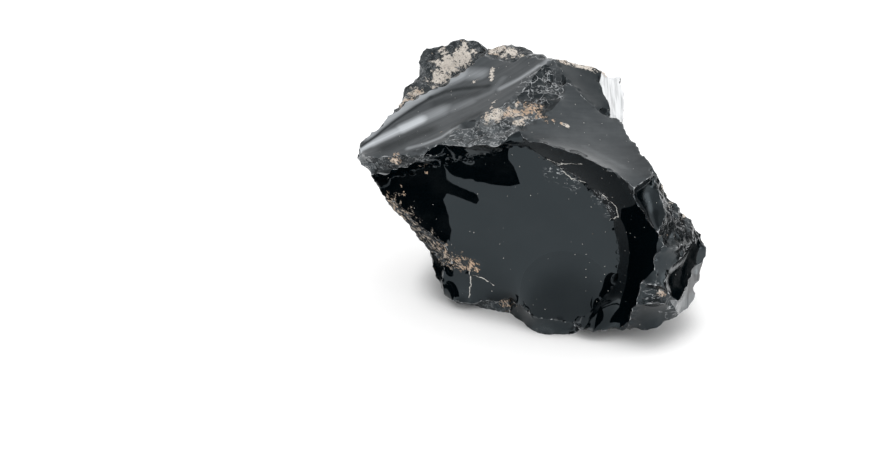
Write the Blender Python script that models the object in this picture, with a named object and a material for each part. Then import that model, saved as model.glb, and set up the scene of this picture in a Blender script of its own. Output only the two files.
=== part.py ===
"""One raw chunk of black obsidian, about 120 mm across, resting on its underside.

The chunk is a closed map of flake scars. Scars meet along ridges, ridges meet at junctions, and each
scar is a smooth dished skin stretched over its outline. Lengths below are in millimetres, measured
right (+X), back (+Y) and up (+Z) from a point on the floor under the chunk; the mesh is in metres.
"""

import math
from dataclasses import dataclass

import bpy
import numpy as np
from mathutils import Vector, noise
from mathutils.geometry import delaunay_2d_cdt

MM = 0.001
SPACING = 2.8  # between neighbouring points of the mesh
RIDGE_WOBBLE = 1.1  # how far a ridge strays from its drawn line
WOBBLE_LENGTH = 6.0  # from one stray to the next
NOISE_APART = ((0, 0, 0), (31.4, 0, 0), (0, 27.1, 0))  # sets the strays in X, Y and Z apart
CRUMPLE_LENGTH = 9.0  # across one crest of a crumpled scar
EDGE_FADE = 4.0  # over which crumples and ripples die away towards their ridges
RIPPLE_LENGTH = 9.0  # between two ripples of a scar, near where the blow landed
RIPPLE_GROWTH = 0.06  # by which that length grows for each millimetre outwards
FLOOR = 0.0  # height of the face that the chunk rests on
HEART = (0, 2, 38)  # the point inside the stone that every edge chip bites towards

# Where ridges meet.
JUNCTIONS = {
    # the left end and the brow over the big front scar
    "tip": (-60, -2, 53),
    "tip_low": (-55, -8, 47),
    "strip_top": (-50, -9.5, 39),
    "strip_low": (-26.5, -14, 17),
    "brow_left": (-31, -16, 62),
    "notch": (-5.5, -20, 68.5),
    "brow_right": (31.5, -41, 57.5),
    # the top
    "crest_step": (-48, 13, 61),
    "valley": (-33, 25, 64.5),
    "crest_end": (-16, 26, 76),
    "back_notch": (-14.5, 33, 77),
    "lump_left": (-37, 40, 73.5),
    "summit": (6.5, 13, 81),
    "crumple_top": (4, 9.5, 80),
    "knee": (-6.5, -3, 73.5),
    "crumple_low": (2.5, -14, 70.5),
    "top_right": (24, 14, 75.5),
    "wall_top": (31, 23, 70),
    "wall_low": (29, -7, 65.5),
    "crease_end": (26.5, -4, 67),
    # the right side of the front
    "hollow_top": (38.5, -32.5, 59.5),
    "hollow_low": (38.5, -43, 42.5),
    "facet_top": (42, -42.5, 36.5),
    "facet_low": (38, -46, 25),
    "nose_top": (51, -32, 32),
    "nose_right": (56, -21, 30),
    "nose_edge": (56.5, -25, 23),
    "nose_low": (46, -42, 15.5),
    "nose_in": (41.5, -45.5, 24),
    "hackle_left": (34, -46, 25.5),
    "toe_in": (33.5, -45, 18),
    "toe_left": (31.5, -37.5, 3),
    "toe_right": (47.5, -36.5, 8.5),
    # the foot of the front
    "lip_right": (13.5, -34, 4),
    "lip_left": (-7, -19, 5),
    "heel": (-30, -10, 2),
    "heel_out": (-34, -4, 10),
    "elbow": (-34.5, -8, 17.5),
    # the sides and the back
    "flank_left": (-44, 14, 30),
    "back_left": (-32, 37, 36),
    "back_mid": (0, 44, 42),
    "back_right": (31, 33, 43),
    "right_mid": (51, 3, 24),
    "right_low": (50, -8, 11),
    # the outline of the resting face
    "base_left": (-26, -12, 0),
    "lip_foot": (-7, -19.5, 0),
    "lip_end": (16, -31, 0),
    "base_right": (40, -8, 0),
    "base_corner": (30, 26, 0),
    "base_back": (-2, 36, 0),
    "base_rear_left": (-27, 18, 0),
}

# What a ridge passes through between two junctions. A ridge that isn't listed runs straight.
RIDGES = {
    ("tip", "tip_low"): [(-59.5, -3.5, 50.5)],
    ("tip_low", "brow_left"): [(-49, -10, 49.5), (-45.5, -12, 51), (-40.5, -14, 54), (-36.5, -15, 57.5)],
    ("tip", "brow_left"): [
        (-57, -8, 53.5),
        (-51.5, -11, 55),
        (-46, -13, 56.5),
        (-41.5, -15, 58),
        (-37, -15.5, 59.5),
    ],
    ("brow_left", "notch"): [(-26, -19, 62.5), (-19, -23, 64), (-13, -25, 65), (-9.5, -22.5, 67)],
    ("tip_low", "lip_right"): [
        (-50, -6.5, 44),
        (-43, -8.5, 47),
        (-34.5, -11.5, 51),
        (-25.5, -15, 55),
        (-16.5, -18, 58.5),
        (-10, -18.5, 60.5),
        (-5, -19, 62),
        (1.5, -19.5, 59.5),
        (8.5, -20.5, 55),
        (16.5, -22, 49.5),
        (23, -23, 42),
        (27, -24, 33),
        (28.5, -25, 24),
        (27.5, -26.5, 15),
        (21, -29, 9.5),
    ],
    ("notch", "brow_right"): [
        (-3, -24, 67),
        (1.5, -27, 66.5),
        (6, -29, 66),
        (10, -31, 65.5),
        (15.5, -34, 65),
        (22, -37, 62.5),
        (27, -39.5, 60),
    ],
    ("tip", "crest_step"): [(-54, 6, 57.5)],
    ("crest_step", "crest_end"): [(-34, 20, 66.5), (-24, 24, 71.5)],
    ("valley", "crest_end"): [(-23, 29, 69.5)],
    ("crest_end", "summit"): [(-12.5, 25, 76), (-7.5, 21, 77), (-0.5, 17, 79.5)],
    ("brow_left", "knee"): [(-21.5, -9.5, 66.5), (-13, -7, 70)],
    ("crumple_top", "crumple_low"): [(7, 4.5, 76.5), (8.5, -4.5, 73), (6, -8.5, 72)],
    ("knee", "crumple_low"): [(-2, -9, 71.5)],
    ("crumple_low", "notch"): [(-3, -16.5, 69.5)],
    ("summit", "crease_end"): [(9.5, 6, 77.5), (13, 2, 75), (19.5, -3.5, 70.5)],
    ("summit", "top_right"): [(13.5, 15, 79), (20, 15.5, 77)],
    ("top_right", "crease_end"): [(23, 8, 73), (24.5, 2, 70)],
    ("top_right", "wall_top"): [(26.5, 18, 72)],
    ("wall_top", "wall_low"): [(31, 14, 67.5), (31, 4, 64)],
    ("wall_low", "hollow_top"): [(32.5, -17, 62.5), (36, -26, 61)],
    ("brow_right", "hollow_top"): [(34.5, -38, 58.5)],
    ("brow_right", "hollow_low"): [(32, -42, 52.5), (34.5, -43, 48)],
    ("hollow_top", "hollow_low"): [(39, -34.5, 54.5), (41, -37, 49.5), (41.5, -40, 45.5)],
    ("hollow_top", "nose_right"): [(41, -29.5, 52.3), (46.5, -26.5, 45), (51.5, -23.5, 38.3)],
    ("facet_top", "facet_low"): [(38.5, -43.5, 33.5)],
    ("facet_top", "nose_top"): [(47, -38, 35)],
    ("nose_top", "nose_in"): [(46.5, -39, 30), (43, -42.5, 28)],
    ("nose_right", "nose_edge"): [(57, -23, 26.5)],
    ("nose_edge", "nose_low"): [(54.5, -27, 21.5), (51.5, -31, 19), (50, -34.5, 17.5), (48.5, -39, 16)],
    ("nose_edge", "toe_right"): [
        (56.5, -25.5, 20.5),
        (55.5, -27, 16.5),
        (53.5, -30, 14),
        (53, -31.5, 12.5),
        (51, -34, 9.5),
    ],
    ("nose_in", "nose_low"): [(44, -43.5, 20.5)],
    ("toe_in", "nose_low"): [(38.5, -47, 18.5)],
    ("toe_in", "toe_left"): [(31.5, -42, 11)],
    ("toe_left", "toe_right"): [(36, -39, 3.5), (39.5, -38.5, 4.5), (42, -38, 6), (44.5, -37.5, 7.5)],
    ("lip_right", "toe_left"): [(18, -38, 3.5), (23, -37.5, 3)],
    ("lip_left", "lip_right"): [(-5, -24, 6), (-2, -29.5, 6), (1, -32.5, 5), (6, -33.5, 5)],
    ("heel", "lip_left"): [(-26.5, -15.5, 2.5), (-21, -17, 2.5), (-16, -17.5, 3), (-11, -17.5, 3)],
    ("elbow", "heel"): [(-30.5, -12, 14.5), (-30.5, -12.5, 8)],
    ("elbow", "heel_out"): [(-34.8, -5, 14.5)],
    ("heel_out", "heel"): [(-31.5, -6, 5)],
    ("tip_low", "strip_top"): [(-53, -9, 43.5)],
    ("strip_top", "elbow"): [
        (-49.5, -9.5, 38.5),
        (-46, -10, 34.5),
        (-44.5, -10, 31),
        (-40.5, -10, 26.5),
        (-38, -8.5, 22),
    ],
    ("strip_top", "strip_low"): [(-45.5, -11, 37.5), (-40, -12.5, 31.5), (-31.5, -14, 25)],
    ("crest_step", "lump_left"): [
        (-47, 17, 60),
        (-44.5, 24.5, 61.5),
        (-43.5, 28, 63.5),
        (-41, 31.5, 65.5),
        (-39, 34.5, 68),
    ],
    ("lump_left", "back_notch"): [(-29, 40, 76), (-22.5, 40, 78), (-18, 37, 78)],
    ("back_notch", "summit"): [(-12, 34, 77), (-8, 35, 77.5), (-4, 33, 77), (1, 26, 77.5)],
    ("tip", "flank_left"): [(-54, 8, 42)],
    ("lump_left", "back_left"): [(-39, 42, 56)],
    ("back_notch", "back_mid"): [(-8, 41.5, 61)],
    ("wall_top", "back_right"): [(31.5, 29, 58)],
    ("nose_right", "right_mid"): [(55, -10, 27.5)],
    ("right_mid", "back_right"): [(42, 18, 36)],
    ("lip_foot", "lip_end"): [(-1.5, -29.5, 0), (5, -34, 0), (12, -34, 0)],
    ("toe_right", "right_low"): [(51, -22, 9)],
}


@dataclass
class Scar:
    """One break. Its outline runs anticlockwise from outside, and its dish is deepest in the middle."""

    outline: str
    depth: float = 1.0
    bed: float = 1.0  # 1 is a bowl, and more is a flatter bed with steeper sides
    crumple: float = 0.0  # height of its folds
    blow: tuple = None  # where the ripples spread from
    ripple: float = 0.0  # height of the ripples


SCARS = [
    # the hollow front: a mirror-flat bed and the bank that rises from it to the brow and the right rim
    Scar("tip_low strip_top strip_low elbow heel lip_left lip_right", 1.5, 1.3),
    Scar(
        "tip_low lip_right toe_left toe_in hackle_left facet_low facet_top hollow_low brow_right"
        " notch brow_left",
        1.7,
    ),
    Scar("strip_top elbow strip_low", 0.3, crumple=0.7),
    # above the front, from the left
    Scar("tip tip_low brow_left", 0.3, crumple=0.6),
    Scar("tip brow_left knee crumple_top summit crest_end crest_step", 1.6, blow=(-5, -75, 40), ripple=0.2),
    Scar("brow_left notch crumple_low knee", 0.6, crumple=1.2),
    Scar("knee crumple_low crumple_top", 1.0, crumple=1.2),
    Scar(
        "summit crumple_top crumple_low notch brow_right hollow_top wall_low crease_end",
        1.6,
        blow=(5, 25, 80),
        ripple=0.08,
    ),
    Scar("summit crease_end top_right", 0.6),
    Scar("top_right crease_end wall_low wall_top", 0.6),
    # the right rim and the toe
    Scar("brow_right hollow_low hollow_top", 2.2, 1.3),
    Scar("hollow_top hollow_low facet_top nose_top nose_right", 0.8, crumple=1.4),
    Scar("facet_top facet_low nose_in nose_top", 0.3),
    Scar("nose_top nose_in nose_low nose_edge nose_right", 1.6, 1.3),
    Scar("nose_in facet_low hackle_left toe_in nose_low", 1.6, 1.3, crumple=0.5),
    Scar("toe_in toe_left toe_right nose_low", 0.8),
    Scar("nose_low toe_right nose_edge", 0.6),
    # the foot
    Scar("lip_left lip_foot lip_end lip_right", 0.3),
    Scar("elbow heel_out heel", 0.2, crumple=0.2),
    Scar("heel base_left lip_foot lip_left", 0.4, crumple=0.3),
    Scar("lip_right lip_end base_right right_low toe_right toe_left", 1.2, crumple=0.4),
    # the crusted lumps behind the crest
    Scar("crest_step crest_end valley", 0.2, crumple=0.4),
    Scar("crest_step valley crest_end back_notch lump_left", 0.5, crumple=1.3),
    Scar("crest_end summit back_notch", 0.4, crumple=1.0),
    # the left side and the back
    Scar(
        "tip flank_left base_rear_left base_left heel heel_out elbow strip_top tip_low",
        3.5,
        1.2,
        blow=(-60, 0, 60),
        ripple=0.2,
    ),
    Scar("tip crest_step lump_left back_left flank_left", 3.0, 1.2, crumple=0.6),
    Scar("flank_left back_left base_rear_left", 1.5, crumple=0.6),
    Scar("lump_left back_notch back_mid back_left", 2.5, 1.3, blow=(-12, 40, 84), ripple=0.2),
    Scar(
        "back_notch summit top_right wall_top back_right back_mid",
        4.0,
        1.4,
        blow=(12, 20, 88),
        ripple=0.2,
    ),
    Scar("back_left back_mid base_back base_rear_left", 3.0, 1.3, blow=(-34, 46, 44), ripple=0.2),
    Scar("back_mid back_right base_corner base_back", 2.5, 1.2, crumple=0.5),
    Scar(
        "wall_top wall_low hollow_top nose_right right_mid back_right",
        4.5,
        1.4,
        blow=(32, 20, 76),
        ripple=0.2,
    ),
    Scar("right_mid right_low base_right base_corner back_right", 3.0, 1.3, blow=(58, 4, 30), ripple=0.2),
    Scar("nose_right nose_edge toe_right right_low right_mid", 2.0, 1.2, crumple=0.5),
]
RESTING_FACE = "base_left base_rear_left base_back base_corner base_right lip_end lip_foot"

# Knobs on the skin, mostly of crust: where, radius, height.
KNOBS = [
    ((-27, -14, 16), 6, 1.6),
    ((-20, -16, 15), 5, 1.3),
    ((-27, 30, 71), 8, 1.5),
    ((-36, 36, 70), 6, 1.0),
    ((-17, -14, 66), 6, 1.2),
    ((-7, -10, 70), 5, 1.0),
    ((-5, 29, 77.5), 6, 1.0),
    ((46, -29, 43), 5, 1.0),
]

# Chips out of the ridges: where, radius of the hollow, depth of the bite.
CHIPS = [
    ((-40, 30, 67), 5, 0.8),
    ((-8, 42, 62), 13, 3.0),
    ((-38, 41, 54), 11, 3.0),
    ((-33, 38, 40), 9, 2.5),
    ((42, 18, 37), 15, 3.5),
    ((31.5, 28, 60), 9, 2.0),
    ((-36, 16, 16), 14, 3.5),
    ((-30, 29, 20), 13, 3.0),
    ((18, 40, 43), 14, 3.0),
    ((14, 33, 12), 13, 2.5),
    ((46, -8, 7), 9, 2.5),
    ((36, 8, 10), 13, 2.0),
    ((49, -26, 41), 6, 1.3),
    ((-51, 9, 60), 8, 0.9),
    ((13, 15, 79.5), 9, 0.8),
    ((54, -14, 13), 7, 1.5),
]

COLOUR = (0.012, 0.013, 0.015, 1.0)
ROUGHNESS = 0.08
METALLIC = 0.0


def clear_scene():
    for obj in list(bpy.data.objects):
        bpy.data.objects.remove(obj)


def strayed(point):
    """Where the broken stone really lies beside a drawn point: the same for each scar that shares it."""
    at = point / WOBBLE_LENGTH
    stray = Vector([noise.noise(at + Vector(apart)) for apart in NOISE_APART]) * RIDGE_WOBBLE
    if point.z == FLOOR:
        stray.z = 0.0
    return point + stray


def through(points):
    """A Catmull-Rom curve through the points, as points about SPACING apart that keep the given ones."""
    ends = [2 * points[0] - points[1]] + points + [2 * points[-1] - points[-2]]
    curve = [points[0]]
    for before, start, end, after in zip(ends, ends[1:], ends[2:], ends[3:]):
        steps = max(1, round((end - start).length / SPACING))
        for step in range(1, steps + 1):
            t = step / steps
            bend = (2 * before - 5 * start + 4 * end - after) * t * t
            twist = (3 * start - before - 3 * end + after) * t ** 3
            curve.append((2 * start + (end - before) * t + bend + twist) / 2)
    return curve


class Skin:
    """The points and triangles of the whole surface. Scars share the points along their ridges."""

    def __init__(self):
        self.points = []
        self.triangles = []
        self.corners = {name: self.add(strayed(Vector(at))) for name, at in JUNCTIONS.items()}
        self.ridges = {}

    def add(self, point):
        self.points.append(point)
        return len(self.points) - 1

    def ridge(self, first, last):
        """Indices of the points from one junction to the next, both included."""
        if (last, first) in self.ridges:
            return self.ridges[last, first][::-1]
        if (first, last) not in self.ridges:
            drawn = RIDGES.get((first, last)) or RIDGES.get((last, first), [])[::-1]
            line = [Vector(p) for p in (JUNCTIONS[first], *drawn, JUNCTIONS[last])]
            inner = [self.add(strayed(p)) for p in through(line)[1:-1]]
            self.ridges[first, last] = [self.corners[first], *inner, self.corners[last]]
        return self.ridges[first, last]

    def outline(self, names):
        """Indices round a scar, given the names of its junctions."""
        names = names.split()
        loop = []
        for first, last in zip(names, names[1:] + names[:1]):
            loop += self.ridge(first, last)[:-1]
        return loop


def plane_of(points):
    """The middle of an outline and its two flat axes and outward normal, as rows."""
    points = np.array(points)
    middle = points.mean(axis=0)
    normal = np.cross(points - middle, np.roll(points, -1, axis=0) - middle).sum(axis=0)
    normal /= np.linalg.norm(normal)
    across = np.cross([0.0, 0.0, 1.0], normal)
    if np.linalg.norm(across) < 0.1:
        across = np.cross([0.0, 1.0, 0.0], normal)
    across /= np.linalg.norm(across)
    return middle, np.array([across, np.cross(normal, across), normal])


def distance_to_outline(spots, outline):
    """From each flat spot to the nearest side of a flat outline, negative outside it."""
    start = outline
    side = np.roll(outline, -1, axis=0) - start
    reach = spots[:, None] - start[None]
    share = np.clip((reach * side).sum(-1) / (side * side).sum(-1), 0.0, 1.0)
    gap = np.linalg.norm(reach - share[..., None] * side, axis=-1).min(axis=1)
    above = (start[:, 1] > spots[:, None, 1]) != (start[:, 1] + side[:, 1] > spots[:, None, 1])
    with np.errstate(divide="ignore", invalid="ignore"):
        crossing = start[:, 0] + (spots[:, None, 1] - start[:, 1]) / side[:, 1] * side[:, 0]
    inside = (above & (spots[:, None, 0] < crossing)).sum(axis=1) % 2 == 1
    return np.where(inside, gap, -gap)


def bed_of_points(outline):
    """A honeycomb of flat spots that fills an outline."""
    low, high = outline.min(axis=0), outline.max(axis=0)
    row_height = SPACING * math.sqrt(3) / 2
    spots = []
    for row in range(int((high[1] - low[1]) / row_height) + 1):
        start = low[0] + (row % 2) * SPACING / 2
        spots += [(x, low[1] + row * row_height) for x in np.arange(start, high[0], SPACING)]
    spots = np.array(spots)
    return spots[distance_to_outline(spots, outline) > 0.55 * SPACING]


def stiffness(flat, triangles):
    """The matrix whose zero stretches a membrane over the flat triangles, and each point's share of area."""
    matrix = np.zeros((len(flat), len(flat)))
    share = np.zeros(len(flat))
    for corners in triangles:
        for turn in range(3):
            a, b, c = corners[turn:] + corners[:turn]
            to_b, to_c = flat[b] - flat[a], flat[c] - flat[a]
            area = abs(to_b[0] * to_c[1] - to_b[1] * to_c[0]) / 2
            pull = np.dot(to_b, to_c) / (4 * area)
            matrix[[b, c], [c, b]] -= pull
            matrix[[b, c], [b, c]] += pull
            share[a] += area / 3
    return matrix, share


def crumpled(point):
    """A crumpled surface's rise at a point, from -1 to 1, in creased folds."""
    fold = 1 - 2 * abs(noise.noise(point / CRUMPLE_LENGTH)) * 2
    fine = noise.noise(point / CRUMPLE_LENGTH * 2.3)
    return 0.65 * fold + 0.35 * fine


def rippled(point, blow):
    """The rise of a scar's ripples at a point, from -1 to 1: rings that widen away from the blow."""
    reach = (point - Vector(blow)).length
    rings = math.log1p(RIPPLE_GROWTH * reach) / (RIPPLE_GROWTH * RIPPLE_LENGTH)
    return math.sin(math.tau * rings)


def stretch_scar(skin, scar):
    """Adds the skin of one scar: a membrane over its outline, pushed in to a dish, rippled and crumpled."""
    loop = skin.outline(scar.outline)
    ring = np.array([skin.points[i] for i in loop])
    middle, axes = plane_of(ring)
    local = (ring - middle) @ axes.T
    inner = bed_of_points(local[:, :2])
    flat = np.vstack([local[:, :2], inner])
    sides = [(i, (i + 1) % len(loop)) for i in range(len(loop))]
    drawn = delaunay_2d_cdt([Vector(p) for p in flat], sides, [], 1, 1e-5)
    triangles = [tuple(t) for t in drawn[2]]
    assert len(drawn[0]) == len(flat), scar.outline

    edge, free = np.arange(len(loop)), np.arange(len(loop), len(flat))
    matrix, share = stiffness(flat, triangles)
    push = matrix[np.ix_(free, edge)] @ local[:, 2]
    rise = np.linalg.solve(matrix[np.ix_(free, free)], -push)
    bowl = np.linalg.solve(matrix[np.ix_(free, free)], share[free])
    dish = 1 - (1 - bowl / bowl.max()) ** scar.bed
    fade = np.minimum(1.0, distance_to_outline(inner, local[:, :2]) / EDGE_FADE)
    placed = middle + np.column_stack([inner, rise - scar.depth * dish]) @ axes
    for i, at in enumerate(placed):
        relief = scar.crumple * crumpled(Vector(at))
        if scar.blow:
            relief += scar.ripple * rippled(Vector(at), scar.blow)
        placed[i] = at + axes[2] * fade[i] * relief
    index = loop + [skin.add(Vector(at)) for at in placed]
    skin.triangles += [tuple(index[i] for i in corners) for corners in triangles]


def bite(point, place, radius, depth):
    """The point, or where a chip's round hollow moves it to if it lies in the stone that broke away."""
    inward = (Vector(HEART) - place).normalized()
    reach = point - (place - inward * (radius - depth))
    if reach.length >= radius or point.z < FLOOR + 1.0:
        return point
    along = reach.dot(inward)
    return point + inward * (math.sqrt(along ** 2 - reach.length_squared + radius ** 2) - along)


def raised(point, place, radius, height):
    """The point, lifted away from the stone's heart if it lies on a knob."""
    near = max(0.0, 1 - (point - place).length / radius)
    return point + (place - Vector(HEART)).normalized() * height * near * near * (3 - 2 * near)


def close_base(skin):
    """Adds the flat face that the chunk rests on."""
    loop = skin.outline(RESTING_FACE)
    flat = [Vector((-skin.points[i].x, skin.points[i].y)) for i in loop]
    sides = [(i, (i + 1) % len(loop)) for i in range(len(loop))]
    drawn = delaunay_2d_cdt(flat, sides, [], 1, 1e-5)
    skin.triangles += [tuple(loop[i] for i in corners) for corners in drawn[2]]


def obsidian():
    material = bpy.data.materials.new("obsidian")
    material.use_nodes = True
    shader = material.node_tree.nodes["Principled BSDF"]
    shader.inputs["Base Color"].default_value = COLOUR
    shader.inputs["Roughness"].default_value = ROUGHNESS
    shader.inputs["Metallic"].default_value = METALLIC
    return material


def centred(points):
    """The points in metres, with the middle of their box over the origin and the floor at zero."""
    points = np.array(points)
    low, high = points.min(axis=0), points.max(axis=0)
    foot = np.array([(low[0] + high[0]) / 2, (low[1] + high[1]) / 2, low[2]])
    return (points - foot) * MM


def make_chunk():
    skin = Skin()
    for scar in SCARS:
        stretch_scar(skin, scar)
    close_base(skin)
    for place, radius, height in KNOBS:
        skin.points = [raised(point, Vector(place), radius, height) for point in skin.points]
    for place, radius, depth in CHIPS:
        skin.points = [bite(point, Vector(place), radius, depth) for point in skin.points]
    mesh = bpy.data.meshes.new("obsidian_chunk")
    mesh.from_pydata(centred(skin.points).tolist(), [], skin.triangles)
    mesh.materials.append(obsidian())
    mesh.validate()
    chunk = bpy.data.objects.new("obsidian_chunk", mesh)
    bpy.context.collection.objects.link(chunk)


clear_scene()
make_chunk()
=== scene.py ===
"""The looks of one raw chunk of black obsidian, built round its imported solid.

The stone is a closed map of flake scars. This script stretches each scar over the same ridges as the
solid does, on a mesh five times finer, and adds what is too small for the solid: fine ripples, hackles,
shells, nicked ridges and crust. Lengths in the map are in millimetres, from a point on the floor.
"""

import math
import random
from dataclasses import dataclass
from functools import reduce

import bpy
import numpy as np
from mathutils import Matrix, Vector, kdtree, noise
from mathutils.geometry import delaunay_2d_cdt


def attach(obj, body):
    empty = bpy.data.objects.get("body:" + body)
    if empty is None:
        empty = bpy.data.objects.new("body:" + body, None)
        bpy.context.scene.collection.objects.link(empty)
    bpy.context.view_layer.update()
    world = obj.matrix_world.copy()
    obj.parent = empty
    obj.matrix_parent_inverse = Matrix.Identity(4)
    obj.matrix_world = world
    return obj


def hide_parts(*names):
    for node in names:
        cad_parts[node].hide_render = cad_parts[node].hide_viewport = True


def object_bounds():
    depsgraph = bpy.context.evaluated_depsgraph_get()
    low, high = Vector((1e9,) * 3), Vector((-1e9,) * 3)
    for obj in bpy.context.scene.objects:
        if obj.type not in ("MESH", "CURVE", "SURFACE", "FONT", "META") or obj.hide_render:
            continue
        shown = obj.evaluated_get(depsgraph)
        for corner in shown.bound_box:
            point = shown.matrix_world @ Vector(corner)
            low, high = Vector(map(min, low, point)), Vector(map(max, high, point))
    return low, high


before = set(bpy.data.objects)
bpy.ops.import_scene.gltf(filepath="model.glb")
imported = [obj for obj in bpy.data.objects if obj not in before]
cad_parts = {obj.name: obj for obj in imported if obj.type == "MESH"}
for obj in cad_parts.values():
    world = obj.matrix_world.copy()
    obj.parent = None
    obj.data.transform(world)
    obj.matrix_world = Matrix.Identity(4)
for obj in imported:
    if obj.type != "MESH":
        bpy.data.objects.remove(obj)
solid_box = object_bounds()

NODE = "obsidian_chunk"
MM = 0.001
SPACING = 0.47  # between neighbouring points of the mesh, and twice that inside a smooth scar
CLOSE_REACH = 2.2  # how far from its ridges a smooth scar still has close points
RIDGE_WOBBLE = 1.1  # how far a ridge strays from its drawn line
WOBBLE_LENGTH = 6.0  # from one stray to the next
NICK = 0.35  # the same for the small nicks along a ridge
NICK_LENGTH = 1.7
NOISE_APART = ((0, 0, 0), (31.4, 0, 0), (0, 27.1, 0))  # sets the strays in X, Y and Z apart
CRUMPLE_LENGTH = 9.0  # across one crest of a crumpled scar
EDGE_FADE = 4.0  # over which crumples and ripples die away towards their ridges
RIPPLE_LENGTH = 9.0  # between two ripples of a scar, near where the blow landed
RIPPLE_GROWTH = 0.06  # by which that length grows for each millimetre outwards
FINE_RIPPLE_LENGTH = 1.9
FINE_RIPPLE_GROWTH = 0.01
LINES_PER_TURN = 22.0  # how close a scar's hackle lines are, in lines for each radian
LINE_LENGTH = 11.0
SHELL_SIZE = 2.6  # across one of the shells of a rough break
FLUTE_ACROSS = 7.0  # the silk's long soft waves: their width and length
FLUTE_ALONG = 34.0
FLOOR = 0.0  # height of the face that the chunk rests on
HEART = (0, 2, 38)  # the point inside the stone that every edge chip bites towards
SEED = 7
REST_BAND = 1.0  # points this close to the floor stay where they are, so that the resting face is flat
MOST_STEPS = 900  # in which a membrane has to settle
CLOSE_ENOUGH = 1e-12  # the square of its error at the end, as a share of that at the start

CHIP_EVERY = 2.6  # between the chips along a ridge
CALM_CHIP_RADIUS = (0.5, 1.2)  # smallest and largest, beside the mirror
CHIP_RADIUS = (0.8, 2.0)  # the same beside other smooth scars
ROUGH_CHIP_RADIUS = (1.0, 3.2)  # and beside rough ones
CHIP_DEPTH = (0.06, 0.2)  # as a share of its radius
KNOCK_TILT = 0.35  # how far a knock strays from straight in
SHARP_ANGLE = math.radians(38)  # a bend past this is drawn as a crisp edge

PHOTO_SIZE = (890, 450)
PHOTO_SPOT = (530, 287)  # where the map's own zero point stands in the photograph's frame, in pixels
LENS = 85.0
SENSOR = 36.0
PITCH = math.radians(26)
CAMERA_REACH = 735.0  # from the camera to the map's zero point, along its line of sight

GLASS_IOR = 1.5
GLOSS_ROUGHNESS = 0.035
SILK_ROUGHNESS = 0.16
RIPPLE_TURNS = math.tau / (FINE_RIPPLE_GROWTH * FINE_RIPPLE_LENGTH)
LINES_REACH = 9.0  # from the ridges, over which a scar's hackle lines fade
SHELLS_PER_MM = 0.9  # how close the small shells are that only the light shows
WRINKLES_PER_MM = 0.27  # how close the net in the crumpled corner is
CRUMPLE_MIDDLE = (2.5, 0.5, 75)
CRUMPLE_REACH = (6.5, 9.5)  # from its middle, where the net fades
SHELL_RISE = 0.25  # height of those small shells
CRUST_GRAIN = 0.25  # height of the crust's roughness
CRUST_ALONG = (0.75, 0.0, -0.66)  # the way its pits run
CRUST_ACROSS = (0.66, 0.0, 0.75)
RIM_WIDTH = 0.34  # of the pale line along a crisp ridge: crushed glass with a painted edge highlight
VEIN_WIDTH = 0.16  # half the width of a vein
VEINS_END = 6.0  # how far back they are drawn
SPECKS_PER_MM = 0.8
SPECK_RADIUS = 0.15
PAINTED_SHEEN_BASE = 0.10  # how bright the silk's painted sheen is between its painted highlight streaks
SILK_ALONG = (0.97, 0.25, 0.0)  # the way the fibres of that painted sheen run
SILK_ACROSS = (-0.25, 0.97, 0.0)
GLASS_TINT = (0.78, 0.92, 1.0, 1)  # of its mirror light, seen straight on
GLASS_BLACK = (0.0006, 0.0018, 0.0026, 1)
FROST_GREY = (0.100, 0.108, 0.113, 1)
# The grey of crushed glass, also used for the painted edge highlights on rims and bends.
CRUSHED_AND_HIGHLIGHT_GREY = (0.42, 0.43, 0.44, 1)
# The white of the painted grazing reflection.
PAINTED_REFLECTION_WHITE = (0.80, 0.81, 0.82, 1)
SPECK = (0.60, 0.58, 0.54, 1)
# The grey of the painted sheen on the silk.
PAINTED_SHEEN_GREY = (0.60, 0.63, 0.66, 1)
HAZE_GREY = (0.60, 0.62, 0.63, 1)
CRUST_PALE = (0.78, 0.72, 0.65, 1)
CRUST_TAN = (0.64, 0.45, 0.31, 1)
CRUST_BROWN = (0.42, 0.36, 0.30, 1)

FLOOR_SIZE = 12.0  # metres
FLOOR_WHITE = (0.8, 0.8, 0.8, 1)
# The floor's own glow in the open; near the stone it dims into a painted contact shadow.
FLOOR_GLOW = 0.42
CONTACT_REACH = 16.0  # how far from the stone the floor's painted contact shadow reaches
CONTACT_OPEN = (0.45, 0.95)  # the shares of open sky between which its glow comes up out of that painted shadow
FLAG_BLACK = (0.002, 0.002, 0.002, 1)
OVERHEAD_LIGHT = 0.8
OVERHEAD_SPREAD = math.radians(100)
OVERHEAD_TILT = (math.radians(-12), math.radians(8), 0)
WALL_LIGHT = 1.0
HORIZON_LIGHT = 1.46  # as bright as the lit floor, so that the glass mirrors no horizon
HORIZON_FADE = 0.7  # the sine of the height where the walls' own light is reached

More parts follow.
